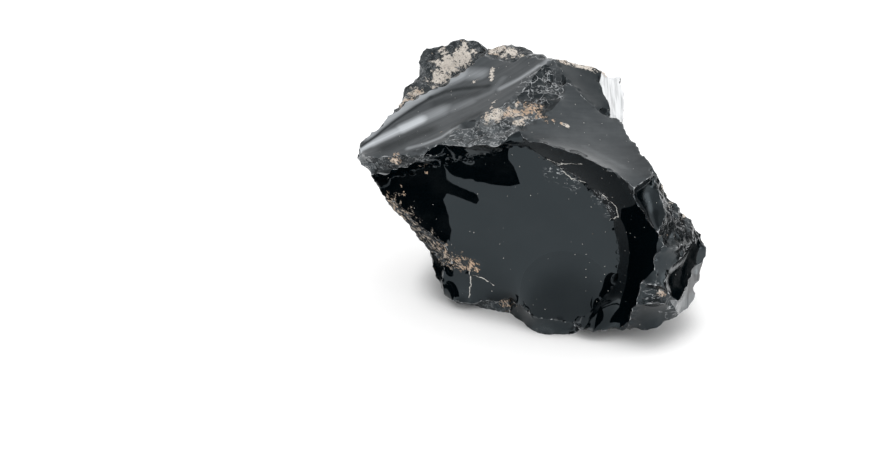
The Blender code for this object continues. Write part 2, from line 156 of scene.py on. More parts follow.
# Where ridges meet.
JUNCTIONS = {
    # the left end and the brow over the big front scar
    "tip": (-60, -2, 53), "tip_low": (-55, -8, 47), "strip_top": (-50, -9.5, 39),
    "strip_low": (-26.5, -14, 17), "brow_left": (-31, -16, 62), "notch": (-5.5, -20, 68.5),
    "brow_right": (31.5, -41, 57.5),
    # the top
    "crest_step": (-48, 13, 61), "valley": (-33, 25, 64.5), "crest_end": (-16, 26, 76),
    "back_notch": (-14.5, 33, 77), "lump_left": (-37, 40, 73.5), "summit": (6.5, 13, 81),
    "crumple_top": (4, 9.5, 80), "knee": (-6.5, -3, 73.5), "crumple_low": (2.5, -14, 70.5),
    "top_right": (24, 14, 75.5), "wall_top": (31, 23, 70), "wall_low": (29, -7, 65.5),
    "crease_end": (26.5, -4, 67),
    # the right side of the front
    "hollow_top": (38.5, -32.5, 59.5), "hollow_low": (38.5, -43, 42.5), "facet_top": (42, -42.5, 36.5),
    "facet_low": (38, -46, 25), "nose_top": (51, -32, 32), "nose_right": (56, -21, 30),
    "nose_edge": (56.5, -25, 23), "nose_low": (46, -42, 15.5), "nose_in": (41.5, -45.5, 24),
    "hackle_left": (34, -46, 25.5), "toe_in": (33.5, -45, 18), "toe_left": (31.5, -37.5, 3),
    "toe_right": (47.5, -36.5, 8.5),
    # the foot of the front
    "lip_right": (13.5, -34, 4), "lip_left": (-7, -19, 5), "heel": (-30, -10, 2),
    "heel_out": (-34, -4, 10), "elbow": (-34.5, -8, 17.5),
    # the sides and the back
    "flank_left": (-44, 14, 30), "back_left": (-32, 37, 36), "back_mid": (0, 44, 42),
    "back_right": (31, 33, 43), "right_mid": (51, 3, 24), "right_low": (50, -8, 11),
    # the outline of the resting face
    "base_left": (-26, -12, 0), "lip_foot": (-7, -19.5, 0), "lip_end": (16, -31, 0),
    "base_right": (40, -8, 0), "base_corner": (30, 26, 0), "base_back": (-2, 36, 0),
    "base_rear_left": (-27, 18, 0),
}

# What a ridge passes through between two junctions. A ridge that isn't listed runs straight.
RIDGES = {
    ("tip", "tip_low"): [(-59.5, -3.5, 50.5)],
    ("tip_low", "brow_left"): [(-49, -10, 49.5), (-45.5, -12, 51), (-40.5, -14, 54), (-36.5, -15, 57.5)],
    ("tip", "brow_left"): [
        (-57, -8, 53.5), (-51.5, -11, 55), (-46, -13, 56.5), (-41.5, -15, 58), (-37, -15.5, 59.5),
    ],
    ("brow_left", "notch"): [(-26, -19, 62.5), (-19, -23, 64), (-13, -25, 65), (-9.5, -22.5, 67)],
    ("tip_low", "lip_right"): [
        (-50, -6.5, 44), (-43, -8.5, 47), (-34.5, -11.5, 51), (-25.5, -15, 55), (-16.5, -18, 58.5),
        (-10, -18.5, 60.5), (-5, -19, 62), (1.5, -19.5, 59.5), (8.5, -20.5, 55), (16.5, -22, 49.5),
        (23, -23, 42), (27, -24, 33), (28.5, -25, 24), (27.5, -26.5, 15), (21, -29, 9.5),
    ],
    ("notch", "brow_right"): [
        (-3, -24, 67), (1.5, -27, 66.5), (6, -29, 66), (10, -31, 65.5), (15.5, -34, 65), (22, -37, 62.5),
        (27, -39.5, 60),
    ],
    ("tip", "crest_step"): [(-54, 6, 57.5)],
    ("crest_step", "crest_end"): [(-34, 20, 66.5), (-24, 24, 71.5)],
    ("valley", "crest_end"): [(-23, 29, 69.5)],
    ("crest_end", "summit"): [(-12.5, 25, 76), (-7.5, 21, 77), (-0.5, 17, 79.5)],
    ("brow_left", "knee"): [(-21.5, -9.5, 66.5), (-13, -7, 70)],
    ("crumple_top", "crumple_low"): [(7, 4.5, 76.5), (8.5, -4.5, 73), (6, -8.5, 72)],
    ("knee", "crumple_low"): [(-2, -9, 71.5)],
    ("crumple_low", "notch"): [(-3, -16.5, 69.5)],
    ("summit", "crease_end"): [(9.5, 6, 77.5), (13, 2, 75), (19.5, -3.5, 70.5)],
    ("summit", "top_right"): [(13.5, 15, 79), (20, 15.5, 77)],
    ("top_right", "crease_end"): [(23, 8, 73), (24.5, 2, 70)],
    ("top_right", "wall_top"): [(26.5, 18, 72)],
    ("wall_top", "wall_low"): [(31, 14, 67.5), (31, 4, 64)],
    ("wall_low", "hollow_top"): [(32.5, -17, 62.5), (36, -26, 61)],
    ("brow_right", "hollow_top"): [(34.5, -38, 58.5)],
    ("brow_right", "hollow_low"): [(32, -42, 52.5), (34.5, -43, 48)],
    ("hollow_top", "hollow_low"): [(39, -34.5, 54.5), (41, -37, 49.5), (41.5, -40, 45.5)],
    ("hollow_top", "nose_right"): [(41, -29.5, 52.3), (46.5, -26.5, 45), (51.5, -23.5, 38.3)],
    ("facet_top", "facet_low"): [(38.5, -43.5, 33.5)],
    ("facet_top", "nose_top"): [(47, -38, 35)],
    ("nose_top", "nose_in"): [(46.5, -39, 30), (43, -42.5, 28)],
    ("nose_right", "nose_edge"): [(57, -23, 26.5)],
    ("nose_edge", "nose_low"): [(54.5, -27, 21.5), (51.5, -31, 19), (50, -34.5, 17.5), (48.5, -39, 16)],
    ("nose_edge", "toe_right"): [
        (56.5, -25.5, 20.5), (55.5, -27, 16.5), (53.5, -30, 14), (53, -31.5, 12.5), (51, -34, 9.5),
    ],
    ("nose_in", "nose_low"): [(44, -43.5, 20.5)],
    ("toe_in", "nose_low"): [(38.5, -47, 18.5)],
    ("toe_in", "toe_left"): [(31.5, -42, 11)],
    ("toe_left", "toe_right"): [(36, -39, 3.5), (39.5, -38.5, 4.5), (42, -38, 6), (44.5, -37.5, 7.5)],
    ("lip_right", "toe_left"): [(18, -38, 3.5), (23, -37.5, 3)],
    ("lip_left", "lip_right"): [(-5, -24, 6), (-2, -29.5, 6), (1, -32.5, 5), (6, -33.5, 5)],
    ("heel", "lip_left"): [(-26.5, -15.5, 2.5), (-21, -17, 2.5), (-16, -17.5, 3), (-11, -17.5, 3)],
    ("elbow", "heel"): [(-30.5, -12, 14.5), (-30.5, -12.5, 8)],
    ("elbow", "heel_out"): [(-34.8, -5, 14.5)],
    ("heel_out", "heel"): [(-31.5, -6, 5)],
    ("tip_low", "strip_top"): [(-53, -9, 43.5)],
    ("strip_top", "elbow"): [
        (-49.5, -9.5, 38.5), (-46, -10, 34.5), (-44.5, -10, 31), (-40.5, -10, 26.5), (-38, -8.5, 22),
    ],
    ("strip_top", "strip_low"): [(-45.5, -11, 37.5), (-40, -12.5, 31.5), (-31.5, -14, 25)],
    ("crest_step", "lump_left"): [
        (-47, 17, 60), (-44.5, 24.5, 61.5), (-43.5, 28, 63.5), (-41, 31.5, 65.5), (-39, 34.5, 68),
    ],
    ("lump_left", "back_notch"): [(-29, 40, 76), (-22.5, 40, 78), (-18, 37, 78)],
    ("back_notch", "summit"): [(-12, 34, 77), (-8, 35, 77.5), (-4, 33, 77), (1, 26, 77.5)],
    ("tip", "flank_left"): [(-54, 8, 42)],
    ("lump_left", "back_left"): [(-39, 42, 56)],
    ("back_notch", "back_mid"): [(-8, 41.5, 61)],
    ("wall_top", "back_right"): [(31.5, 29, 58)],
    ("nose_right", "right_mid"): [(55, -10, 27.5)],
    ("right_mid", "back_right"): [(42, 18, 36)],
    ("lip_foot", "lip_end"): [(-1.5, -29.5, 0), (5, -34, 0), (12, -34, 0)],
    ("toe_right", "right_low"): [(51, -22, 9)],
}


@dataclass
class Finish:
    """What a break looks like close to."""

    ripples: float = 0.006  # height of its fine ripples
    lines: float = 0.03  # height of the hackle lines that run out to its ridges
    shells: float = 0.0  # depth of the small shells that cover it
    frost: float = 0.0  # how crushed and grey it is, up to 1
    crust: float = 0.0  # how much of it the tan crust covers, up to 1
    painted_reflection: float = 0.0  # how far a painted white grazing reflection covers it, up to 1
    silk: float = 0.0  # height of its long soft waves
    painted_gleam: float = 0.0  # how much of the silk's painted highlight streaks it shows, up to 1
    haze: float = 0.03  # how strong its grey mottling is
    sheen: float = 0.0  # how far it blurs what it mirrors, up to 1


GLASS = Finish()
MIRROR = Finish(ripples=0.002, lines=0.01, haze=0.004)
DARK = Finish(haze=0.0)
# The silk shows the painted sheen streaks in full, the shoulder in part.
SILK = Finish(ripples=0.0, lines=0.02, silk=0.18, painted_gleam=1.0, haze=0.02, sheen=1.0)
SHOULDER = Finish(painted_gleam=0.55)
SATIN = Finish(ripples=0.01, lines=0.02, haze=0.0, sheen=0.8)
# A quarter of the painted white grazing reflection, on glass.
FAINT_PAINTED_REFLECTION = Finish(ripples=0.01, lines=0.02, painted_reflection=0.25)
FROSTED = Finish(lines=0.05, shells=0.07, frost=0.85, sheen=1.0)
DULLED = Finish(lines=0.05, shells=0.1, frost=0.4, sheen=0.6)
CRUMPLED = Finish(lines=0.14, shells=0.35, frost=0.05, haze=0.0)
ROUGH = Finish(lines=0.12, shells=0.35, frost=0.3)
CRUSHED = Finish(lines=0.15, shells=0.6, frost=0.08, crust=0.08)
CRUSTED = Finish(shells=0.3, frost=0.3, crust=0.22)
# The wall, painted white as a grazing reflection.
PAINTED_WALL_REFLECTION = Finish(ripples=0.0, lines=0.0, painted_reflection=1.0)


@dataclass
class Scar:
    """One break. Its outline runs anticlockwise from outside, and its dish is deepest in the middle."""

    finish: Finish
    outline: str
    depth: float = 1.0
    bed: float = 1.0  # 1 is a bowl, and more is a flatter bed with steeper sides
    crumple: float = 0.0  # height of its folds
    blow: tuple = None  # where the ripples spread from
    ripple: float = 0.2  # their height


SCARS = [
    # the hollow front: a mirror-flat bed and the bank that rises from it to the brow and the right rim
    Scar(MIRROR, "tip_low strip_top strip_low elbow heel lip_left lip_right", 1.5, 1.3),
    Scar(DARK, "tip_low lip_right toe_left toe_in hackle_left facet_low facet_top hollow_low brow_right"
         " notch brow_left", 1.7),
    Scar(CRUSTED, "strip_top elbow strip_low", 0.3, crumple=0.7),
    # above the front, from the left
    Scar(DULLED, "tip tip_low brow_left", 0.3, crumple=0.6),
    Scar(SILK, "tip brow_left knee crumple_top summit crest_end crest_step", 1.6, blow=(-5, -75, 40)),
    Scar(FROSTED, "brow_left notch crumple_low knee", 0.6, crumple=1.2),
    Scar(CRUMPLED, "knee crumple_low crumple_top", 1.0, crumple=1.2),
    Scar(SHOULDER, "summit crumple_top crumple_low notch brow_right hollow_top wall_low crease_end",
         1.6, blow=(5, 25, 80), ripple=0.08),
    Scar(GLASS, "summit crease_end top_right", 0.6),
    Scar(PAINTED_WALL_REFLECTION, "top_right crease_end wall_low wall_top", 0.6),
    # the right rim and the toe
    Scar(SATIN, "brow_right hollow_low hollow_top", 2.2, 1.3),
    Scar(CRUSHED, "hollow_top hollow_low facet_top nose_top nose_right", 0.8, crumple=1.4),
    Scar(GLASS, "facet_top facet_low nose_in nose_top", 0.3),
    Scar(GLASS, "nose_top nose_in nose_low nose_edge nose_right", 1.6, 1.3),
    Scar(CRUMPLED, "nose_in facet_low hackle_left toe_in nose_low", 1.6, 1.3, crumple=0.5),
    Scar(GLASS, "toe_in toe_left toe_right nose_low", 0.8),
    Scar(FAINT_PAINTED_REFLECTION, "nose_low toe_right nose_edge", 0.6),
    # the foot
    Scar(GLASS, "lip_left lip_foot lip_end lip_right", 0.3),
    Scar(GLASS, "elbow heel_out heel", 0.2, crumple=0.2),
    Scar(ROUGH, "heel base_left lip_foot lip_left", 0.4, crumple=0.3),
    Scar(ROUGH, "lip_right lip_end base_right right_low toe_right toe_left", 1.2, crumple=0.4),
    # the crusted lumps behind the crest
    Scar(ROUGH, "crest_step crest_end valley", 0.2, crumple=0.4),
    Scar(CRUSTED, "crest_step valley crest_end back_notch lump_left", 0.5, crumple=1.3),
    Scar(CRUSTED, "crest_end summit back_notch", 0.4, crumple=1.0),
    # the left side and the back
    Scar(GLASS, "tip flank_left base_rear_left base_left heel heel_out elbow strip_top tip_low",
         3.5, 1.2, blow=(-60, 0, 60)),
    Scar(ROUGH, "tip crest_step lump_left back_left flank_left", 3.0, 1.2, crumple=0.6),
    Scar(CRUSHED, "flank_left back_left base_rear_left", 1.5, crumple=0.6),
    Scar(GLASS, "lump_left back_notch back_mid back_left", 2.5, 1.3, blow=(-12, 40, 84)),
    Scar(GLASS, "back_notch summit top_right wall_top back_right back_mid", 4.0, 1.4, blow=(12, 20, 88)),
    Scar(GLASS, "back_left back_mid base_back base_rear_left", 3.0, 1.3, blow=(-34, 46, 44)),
    Scar(ROUGH, "back_mid back_right base_corner base_back", 2.5, 1.2, crumple=0.5),
    Scar(GLASS, "wall_top wall_low hollow_top nose_right right_mid back_right",
         4.5, 1.4, blow=(32, 20, 76)),
    Scar(GLASS, "right_mid right_low base_right base_corner back_right", 3.0, 1.3, blow=(58, 4, 30)),
    Scar(ROUGH, "nose_right nose_edge toe_right right_low right_mid", 2.0, 1.2, crumple=0.5),
]
RESTING_FACE = "base_left base_rear_left base_back base_corner base_right lip_end lip_foot"

# Knobs on the skin, mostly of crust: where, radius, height.
KNOBS = [
    ((-27, -14, 16), 6, 1.6), ((-20, -16, 15), 5, 1.3), ((-27, 30, 71), 8, 1.5), ((-36, 36, 70), 6, 1.0),
    ((-17, -14, 66), 6, 1.2), ((-7, -10, 70), 5, 1.0), ((-5, 29, 77.5), 6, 1.0), ((46, -29, 43), 5, 1.0),
]

# Chips out of the ridges: where, radius of the hollow, depth of the bite.
CHIPS = [
    ((-40, 30, 67), 5, 0.8), ((-8, 42, 62), 13, 3.0), ((-38, 41, 54), 11, 3.0), ((-33, 38, 40), 9, 2.5),
    ((42, 18, 37), 15, 3.5), ((31.5, 28, 60), 9, 2.0), ((-36, 16, 16), 14, 3.5), ((-30, 29, 20), 13, 3.0),
    ((18, 40, 43), 14, 3.0), ((14, 33, 12), 13, 2.5), ((46, -8, 7), 9, 2.5), ((36, 8, 10), 13, 2.0),
    ((49, -26, 41), 6, 1.3), ((-51, 9, 60), 8, 0.9), ((13, 15, 79.5), 9, 0.8), ((54, -14, 13), 7, 1.5),
]

# Ridges with no edge to chip: the bank of the front runs out into its bed, and a crumple into the shoulder.
SOFT_RIDGES = {("tip_low", "lip_right"), ("crumple_top", "crumple_low")}

# Where the tan crust still clings: middle and radius of each patch, and how pale it is.
PATCHES = [
    # on the lumps behind the crest
    ((-28, 33.5, 70.5), 5, 1.0), ((-24, 33.5, 73), 4.5, 1.0), ((-32, 28.5, 67.5), 4, 1.0),
    ((-40, 24.5, 63.5), 3, 0.8), ((-44, 20, 63), 2, 0.7), ((-12, 31, 76.5), 4, 0.8),
    ((-7, 27, 77), 3.5, 0.9),
    # along the top
    ((10.5, 14, 79.5), 1.8, 0.8), ((15, 15, 78.3), 2.3, 0.9), ((20, 15.3, 76.8), 2.3, 0.9),
    ((24, 15, 75), 1.8, 0.8),
    # small marks on the silk and on the shoulder
    ((-20, 16.5, 72), 1.3, 1.0), ((-13.5, 20, 74), 1.0, 1.0), ((-13.5, 18.8, 73.5), 0.9, 1.0),
    ((-13.5, 17.5, 73), 1.0, 1.0), ((-13.7, 15.8, 72.7), 0.9, 1.0), ((-14, 14, 72.5), 0.8, 1.0),
    ((-12, 4, 72.5), 1.1, 1.0), ((-13.5, -1, 71), 1.0, 0.9), ((3.5, -15, 69.5), 0.9, 0.6),
    ((6, -14, 69.5), 0.7, 0.6), ((8.5, -14.5, 68.7), 0.7, 0.6), ((10.5, -15, 68), 0.8, 0.9),
    # over the brow
    ((-13.5, -9, 69.5), 3.6, 0.8), ((-7.5, -10.5, 70.5), 3.6, 0.7), ((-1.5, -9, 71.5), 3.6, 0.5),
    ((1.5, -12.5, 70.5), 2.2, 0.4), ((-5, -15.5, 69), 2.4, 0.8), ((-46, -12.5, 54.5), 1.8, 0.6),
    # flecks on the dark left end of the front
    ((-45.5, -10, 40.5), 0.6, 0.3), ((-44.5, -9, 43), 0.5, 0.3), ((-43.5, -10, 41), 0.6, 0.4),
    ((-36, -10.7, 49), 0.6, 0.4), ((-38, -12, 52), 0.8, 0.7),
    # down the left edge of the front, and the ledge at its foot
    ((-48, -10, 37), 3.2, 0.25), ((-44, -10.5, 33), 3.6, 0.2), ((-40.5, -11, 29), 3.8, 0.1),
    ((-36.5, -11, 25), 4.2, 0.1), ((-33, -11.5, 21.5), 4.4, 0.2), ((-29, -13, 18.5), 3.8, 0.25),
    ((-24.5, -14.5, 16.5), 2.4, 0.3), ((-20.5, -16, 16), 2.2, 0.35), ((-9, -18.5, 3), 2, 0.3),
    # on the right rim
    ((41, -44, 20.5), 1.6, 0.7), ((41.5, -29.5, 52), 1.6, 1.0), ((45, -28.5, 47.5), 2, 1.0),
    ((50, -24, 39.5), 1.5, 0.9),
    # out of sight of the front
    ((-45, 27, 50), 7, 0.7), ((-38, 34, 44), 5, 0.8), ((-33, 22, 22), 5, 0.4), ((29, 27, 22), 5, 0.6),
    ((8, 41, 30), 4.5, 0.8), ((44, 14, 34), 3.5, 0.5),
]

# Painted highlight streaks in the silk, as points right and back: brightness, half width, line. Those below
# zero are painted dark reflections.
PAINTED_SHEEN_STREAKS = [
    (1.0, 3.2, [(-60, -3), (-54, -1)]),
    (0.9, 4.0, [(-54, -1), (-50, 0.5), (-44, 2.5)]),
    (1.15, 4.6, [(-44, 2.5), (-38, 4.5)]),
    (0.44, 6.5, [(-38, 4.5), (-31, 6)]),
    (0.25, 5.0, [(-27, 5), (-21, 5.5)]),
    (0.62, 5.5, [(-55, 4), (-49, 9.5), (-42.5, 14.5), (-36, 18.5), (-29, 22), (-24, 22.5)]),
    (0.40, 5.0, [(-24, 22.5), (-17, 19)]),
    (0.20, 3.5, [(-20, 6), (-14, 6.5), (-10, 12)]),
    (0.50, 2.4, [(-11, 6.5), (-4.5, 7.5), (0.5, 9), (5, 11.5)]),
    (0.40, 2.0, [(-42, -11), (-36, -12), (-31, -12), (-25, -8.5)]),
    (-1.0, 1.5, [(-58, -1), (-53, 2.5), (-46.5, 8), (-39.5, 12.5), (-34.5, 15.5)]),
    (-1.0, 1.9, [(-34.5, 15.5), (-29.5, 16.5), (-23.5, 15), (-15, 11)]),
    (-0.55, 3.2, [(-33, 11.5), (-26, 11), (-19, 9.5)]),
    (-0.95, 5.0, [(-50, -6), (-44.5, -5.5), (-40, -4), (-35, -4)]),
    (-0.7, 3.0, [(-26, -7.5), (-22, -5), (-18.5, -5)]),
    # and painted highlight streaks on the shoulder
    (0.12, 2.4, [(12, -7.5), (16, -8.5), (19.5, -9.5), (21, -10.5)]),
    (0.18, 3.5, [(16, -24), (22, -28), (28, -32)]),
]

# Where the stone broke up in splinters: middle and radius. The first are in the front scar.
SPLINTERS = [
    ((7, -20, 53.5), 5), ((12, -21, 51), 4.5), ((22, -24, 46), 4.5), ((25, -24.5, 41), 3.5),
    ((38, -44.5, 22), 5), ((-36, -15, 56), 3),
    # in the crumpled corner above it, on the right rim and on the toe
    ((3, 3, 76.5), 8), ((1, -6, 73), 5), ((44, -31, 45), 5), ((49, -27, 38), 5), ((44, -39, 12), 5),
]

# Thin pale veins and cracks in the front scar, as points right and up: they are on its face.
VEINS = [
    [(-21.5, 15), (-21, 11), (-21.3, 6), (-21.5, 4.5)],
    [(-20, 13.5), (-16, 11.5), (-13, 10)],
    [(4, 58), (7.5, 57), (11, 58.5), (14.5, 60)],
    [(8, 55), (12, 51.5), (17, 51)],
    [(22, 47.5), (26.5, 44.5), (27.5, 41), (25, 37.5)],
]

# The light from each part of the studio's walls: azimuth (0 behind the stone, 90 to its right), height,
# sizes in degrees of the full and the fading part, and brightness. A later one covers those before it.
WALLS = [
    (180, 60, 12, 48, 0.85),
    (40, 48, 20, 30, 1.25),
    (-22, 38, 22, 14, 0.7),
    (106, 18, 10, 12, 3.2),
    (118, 54, 8, 14, 0.45),
]

# Black flags that only the glass sees: how far each stands before the map's zero point, and its corners
# right and up. The first two shape the dark at the left end of the front scar, the third that at its foot.
FLAGS = [
    (
        24,
        [(-22, 36.3), (-23, 34.7), (-26.5, 35.3), (-30.5, 36.2), (-34.8, 37.2), (-35.3, 35.8), (-33.7, 33.7)]
        + [(-32, 30.7), (-30, 25.3), (-29.5, 20), (-50, 18), (-75, 25), (-75, 61), (-42, 61), (-38, 40)]
        + [(-30, 38.7), (-23, 37.8)],
    ),
    (
        24,
        [(-40, 40.8), (-29, 40.7), (-22.5, 41.2), (-17, 42), (-13, 42.8), (-10, 43.4), (-6.5, 45)]
        + [(-7.5, 48.5), (-8.3, 51), (-9.5, 53), (-10, 61), (-41, 61)],
    ),
    (24, [(-34.5, 9), (-34.5, 0.2), (-80, 0.2), (-80, 9)]),
]

# More of them, as points right, back and up: two close before the bank's right end, one beside the nose,
# one farther to the right, and one that lies on the floor to the left.
CARDS = [
    [(28, -28, 45), (28, -50, 45), (28, -50, 2), (28, -40, 2), (28, -36, 10), (28, -30, 22)],
    [(20, -30, 12), (20, -50, 12), (20, -50, 2), (20, -40, 2), (20, -36, 6)],
    [(80, -33, 0), (80, -8, 0), (80, -8, 30), (80, -33, 30)],
    [(150, 90, 0), (150, -52, 0), (150, -52, 90), (150, 90, 90)],
    [(-34.5, -24, 0.1), (-34.5, 10, 0.1), (-90, 10, 0.1), (-90, -24, 0.1)],
]


class Skin:
    """The points and triangles of the whole surface. Scars share the points along their ridges."""

    def __init__(self):
        self.points = []
        self.triangles = []
        self.scar_of = []  # of each triangle, its place in SCARS
        self.notes = {}  # numbers for each corner of each triangle, by kind
        self.ridges = {}
        self.corners = {name: self.add(strayed(Vector(at))) for name, at in JUNCTIONS.items()}

    def add(self, point):
        self.points.append(tuple(point))
        return len(self.points) - 1

    def ridge(self, first, last):
        """Indices of the points from one junction to the next, both included."""
        if (last, first) in self.ridges:
            return self.ridges[last, first][::-1]
        if (first, last) not in self.ridges:
            drawn = RIDGES.get((first, last)) or RIDGES.get((last, first), [])[::-1]
            line = [Vector(p) for p in (JUNCTIONS[first], *drawn, JUNCTIONS[last])]
            inner = [self.add(strayed(p)) for p in through(line)[1:-1]]
            self.ridges[first, last] = [self.corners[first], *inner, self.corners[last]]
        return self.ridges[first, last]

    def outline(self, names):
        """Indices round a scar, given the names of its junctions."""
        return [i for first, last in sides_of(names) for i in self.ridge(first, last)[:-1]]

    def crisp_part(self, names):
        """The places in that outline of the points on its crisp ridges."""
        places, start = [], 0
        for first, last in sides_of(names):
            length = len(self.ridge(first, last)) - 1
            if not {(first, last), (last, first)} & SOFT_RIDGES:
                places += range(start, start + length)
            start += length
        return places

    def note(self, kind, values):
        """Keeps a number or a row of numbers for each corner of the triangles added last."""
        self.notes.setdefault(kind, []).append(values.reshape(-1, 3) if kind == "way" else values.ravel())


def sides_of(names):
    """The pairs of junctions round a scar."""
    names = names.split()
    return list(zip(names, names[1:] + names[:1]))


def strayed(point):
    """Where the broken stone really lies beside a drawn point: the same for each scar that shares it."""
    stray = Vector((0, 0, 0))
    for length, height in ((WOBBLE_LENGTH, RIDGE_WOBBLE), (NICK_LENGTH, NICK)):
        stray += Vector([noise.noise(point / length + Vector(apart)) for apart in NOISE_APART]) * height
    if point.z == FLOOR:
        stray.z = 0.0
    return point + stray


def through(points):
    """A Catmull-Rom curve through the points, as points about SPACING apart that keep the given ones."""
    ends = [2 * points[0] - points[1]] + points + [2 * points[-1] - points[-2]]
    curve = [points[0]]
    for before, start, end, after in zip(ends, ends[1:], ends[2:], ends[3:]):
        steps = max(1, round((end - start).length / SPACING))
        for step in range(1, steps + 1):
            t = step / steps
            bend = (2 * before - 5 * start + 4 * end - after) * t * t
            twist = (3 * start - before - 3 * end + after) * t ** 3
            curve.append((2 * start + (end - before) * t + bend + twist) / 2)
    return curve


def unit(vector):
    return vector / np.linalg.norm(vector)


def distances(points, place):
    """From each point to one place."""
    return np.linalg.norm(points - np.array(place, float), axis=1)


def eased(share):
    """A share from 0 to 1, with a gentle start and end."""
    return share * share * (3 - 2 * share)


def plane_of(points):
    """The middle of an outline and its two flat axes and outward normal, as rows."""
    middle = points.mean(axis=0)
    normal = unit(np.cross(points - middle, np.roll(points, -1, axis=0) - middle).sum(axis=0))
    across = np.cross([0.0, 0.0, 1.0], normal)
    if np.linalg.norm(across) < 0.1:
        across = np.cross([0.0, 1.0, 0.0], normal)
    across = unit(across)
    return middle, np.array([across, np.cross(normal, across), normal])


def gap_to(ring, spots):
    """Distance from each spot to the nearest point of a ring."""
    tree = kdtree.KDTree(len(ring))
    for i, at in enumerate(ring):
        tree.insert((*at, 0.0), i)
    tree.balance()
    return np.array([tree.find((*at, 0.0))[2] for at in spots])


def bed_of_points(outline, close):
    """A honeycomb of flat spots that fills an outline, and the distance of each to that outline."""
    low, high = outline.min(axis=0), outline.max(axis=0)
    after = np.roll(outline, -1, axis=0)
    spots, wide = [], []
    row_height = SPACING * math.sqrt(3) / 2
    for row in range(1, int((high[1] - low[1]) / row_height) + 1):
        y = low[1] + row * row_height
        cut = (outline[:, 1] > y) != (after[:, 1] > y)
        start, end = outline[cut], after[cut]
        share = (y - start[:, 1]) / (end[:, 1] - start[:, 1])
        crossings = np.sort(start[:, 0] + share * (end - start)[:, 0])
        first = low[0] + (row % 2) * SPACING / 2
        steps = [math.ceil((crossing - first) / SPACING) for crossing in crossings]
        for enter, leave in zip(steps[::2], steps[1::2]):
            for step in range(enter, leave):
                spots.append((first + step * SPACING, y))
                wide.append(row % 2 == 0 and (step + row // 2) % 2 == 0)
    spots = np.array(spots).reshape(-1, 2)
    gaps = gap_to(outline, spots)
    kept = gaps > 0.6 * SPACING
    if not close:
        kept &= np.array(wide, bool) | (gaps < CLOSE_REACH)
    return spots[kept], gaps[kept]


class Membrane:
    """A sheet stretched over flat triangles, held at its first points."""

    def __init__(self, flat, triangles, held):
        self.count, self.held = len(flat), held
        self.share = np.zeros(self.count)
        starts, ends, pulls = [], [], []
        for turn in range(3):
            a, b, c = (triangles[:, (turn + k) % 3] for k in range(3))
            to_b, to_c = flat[b] - flat[a], flat[c] - flat[a]
            doubled = np.maximum(abs(to_b[:, 0] * to_c[:, 1] - to_b[:, 1] * to_c[:, 0]), 1e-9)
            starts.append(b)
            ends.append(c)
            pulls.append((to_b * to_c).sum(axis=1) / (2 * doubled))
            self.share += np.bincount(a, doubled / 6, self.count)
        self.starts, self.ends, self.pulls = map(np.concatenate, (starts, ends, pulls))
        self.own = self.pull_on(np.ones(self.count))

    def pull_on(self, rise):
        """The weighted sum of the neighbours' rises, for each point."""
        there = np.bincount(self.starts, self.pulls * rise[self.ends], self.count)
        return there + np.bincount(self.ends, self.pulls * rise[self.starts], self.count)

    def settled(self, edge_rise, load):
        """The rise of the free points when the edge is held at edge_rise, by conjugate gradients."""
        rise = np.zeros(self.count)
        rise[: self.held] = edge_rise
        scale = 1 / np.maximum(self.own[self.held :], 1e-9)
        left = (load - self.own * rise + self.pull_on(rise))[self.held :]
        step = scale * left
        size = goal = left @ step
        for _ in range(MOST_STEPS):
            if size <= goal * CLOSE_ENOUGH:
                break
            push = np.zeros(self.count)
            push[self.held :] = step
            answer = (self.own * push - self.pull_on(push))[self.held :]
            share = size / (step @ answer)
            rise[self.held :] += share * step
            left -= share * answer
            before, size = size, left @ (scale * left)
            step = scale * left + size / before * step
        return rise[self.held :]


def folds(points, length):
    """A crumpled surface's rise at each point, from -1 to 1, in creased folds of about this length."""
    rise = []
    for at in points:
        at = Vector(at) / length
        rise.append(0.65 * (1 - 4 * abs(noise.noise(at))) + 0.35 * noise.noise(at * 2.3))
    return np.array(rise)


def soft_noise(points, length):
    return np.array([noise.noise(Vector(at) / length) for at in points])


def rings(points, blow, length):
    """The rise of a scar's ripples at each point, from -1 to 1: rings that widen away from the blow."""
    return np.sin(math.tau * np.log1p(RIPPLE_GROWTH * distances(points, blow)) / (RIPPLE_GROWTH * length))


def ways_out(points, middle, axes, blow):
    """A place for each point on a fan that opens from the blow: a noise there gives hackle lines."""
    flat = (points - middle) @ axes.T
    away = (flat - (np.array(blow) - middle) @ axes.T)[:, :2]
    reach = np.linalg.norm(away, axis=1)
    turn = np.arctan2(away[:, 1], away[:, 0])
    turned = LINES_PER_TURN * np.array([np.cos(turn), np.sin(turn)])
    return np.column_stack([*turned, reach / LINE_LENGTH])


def shells(points):
    """The rise of a surface covered with small shells, from -1 in their middles to about 0 between them."""
    rise = []
    for at in points:
        spot = Vector(at) / SHELL_SIZE
        spot += Vector([noise.noise(spot + Vector(apart)) for apart in NOISE_APART]) * 0.6
        gaps, middles = noise.voronoi(spot)
        depth = 0.35 + 0.65 * noise.cell(middles[0] * 7.3)
        rise.append(depth * (min(gaps[0] * gaps[0] * 2.2, 1.0) - 1.0))
    return np.array(rise)


def long_waves(points, along, across):
    """The soft waves of a silky scar, which run along it."""
    flat = (points @ along / FLUTE_ALONG, points @ across / FLUTE_ACROSS)
    placed = np.column_stack([*flat, np.zeros(len(points))])
    return soft_noise(placed, 1.0) + 0.35 * soft_noise(placed * (1.6, 2.7, 1.0) + 9.0, 1.0)


def bitten(points, place, radius, depth, inward):
    """The points, with those in a round bite at a place moved inward onto its bed."""
    reach = points - (place - inward * (radius - depth))
    inside = np.where((reach * reach).sum(axis=1) < radius * radius)[0]
    if len(inside):
        near = reach[inside]
        along = near @ inward
        shift = np.sqrt(along ** 2 - (near * near).sum(axis=1) + radius ** 2) - along
        points[inside] += shift[:, None] * inward
    return points


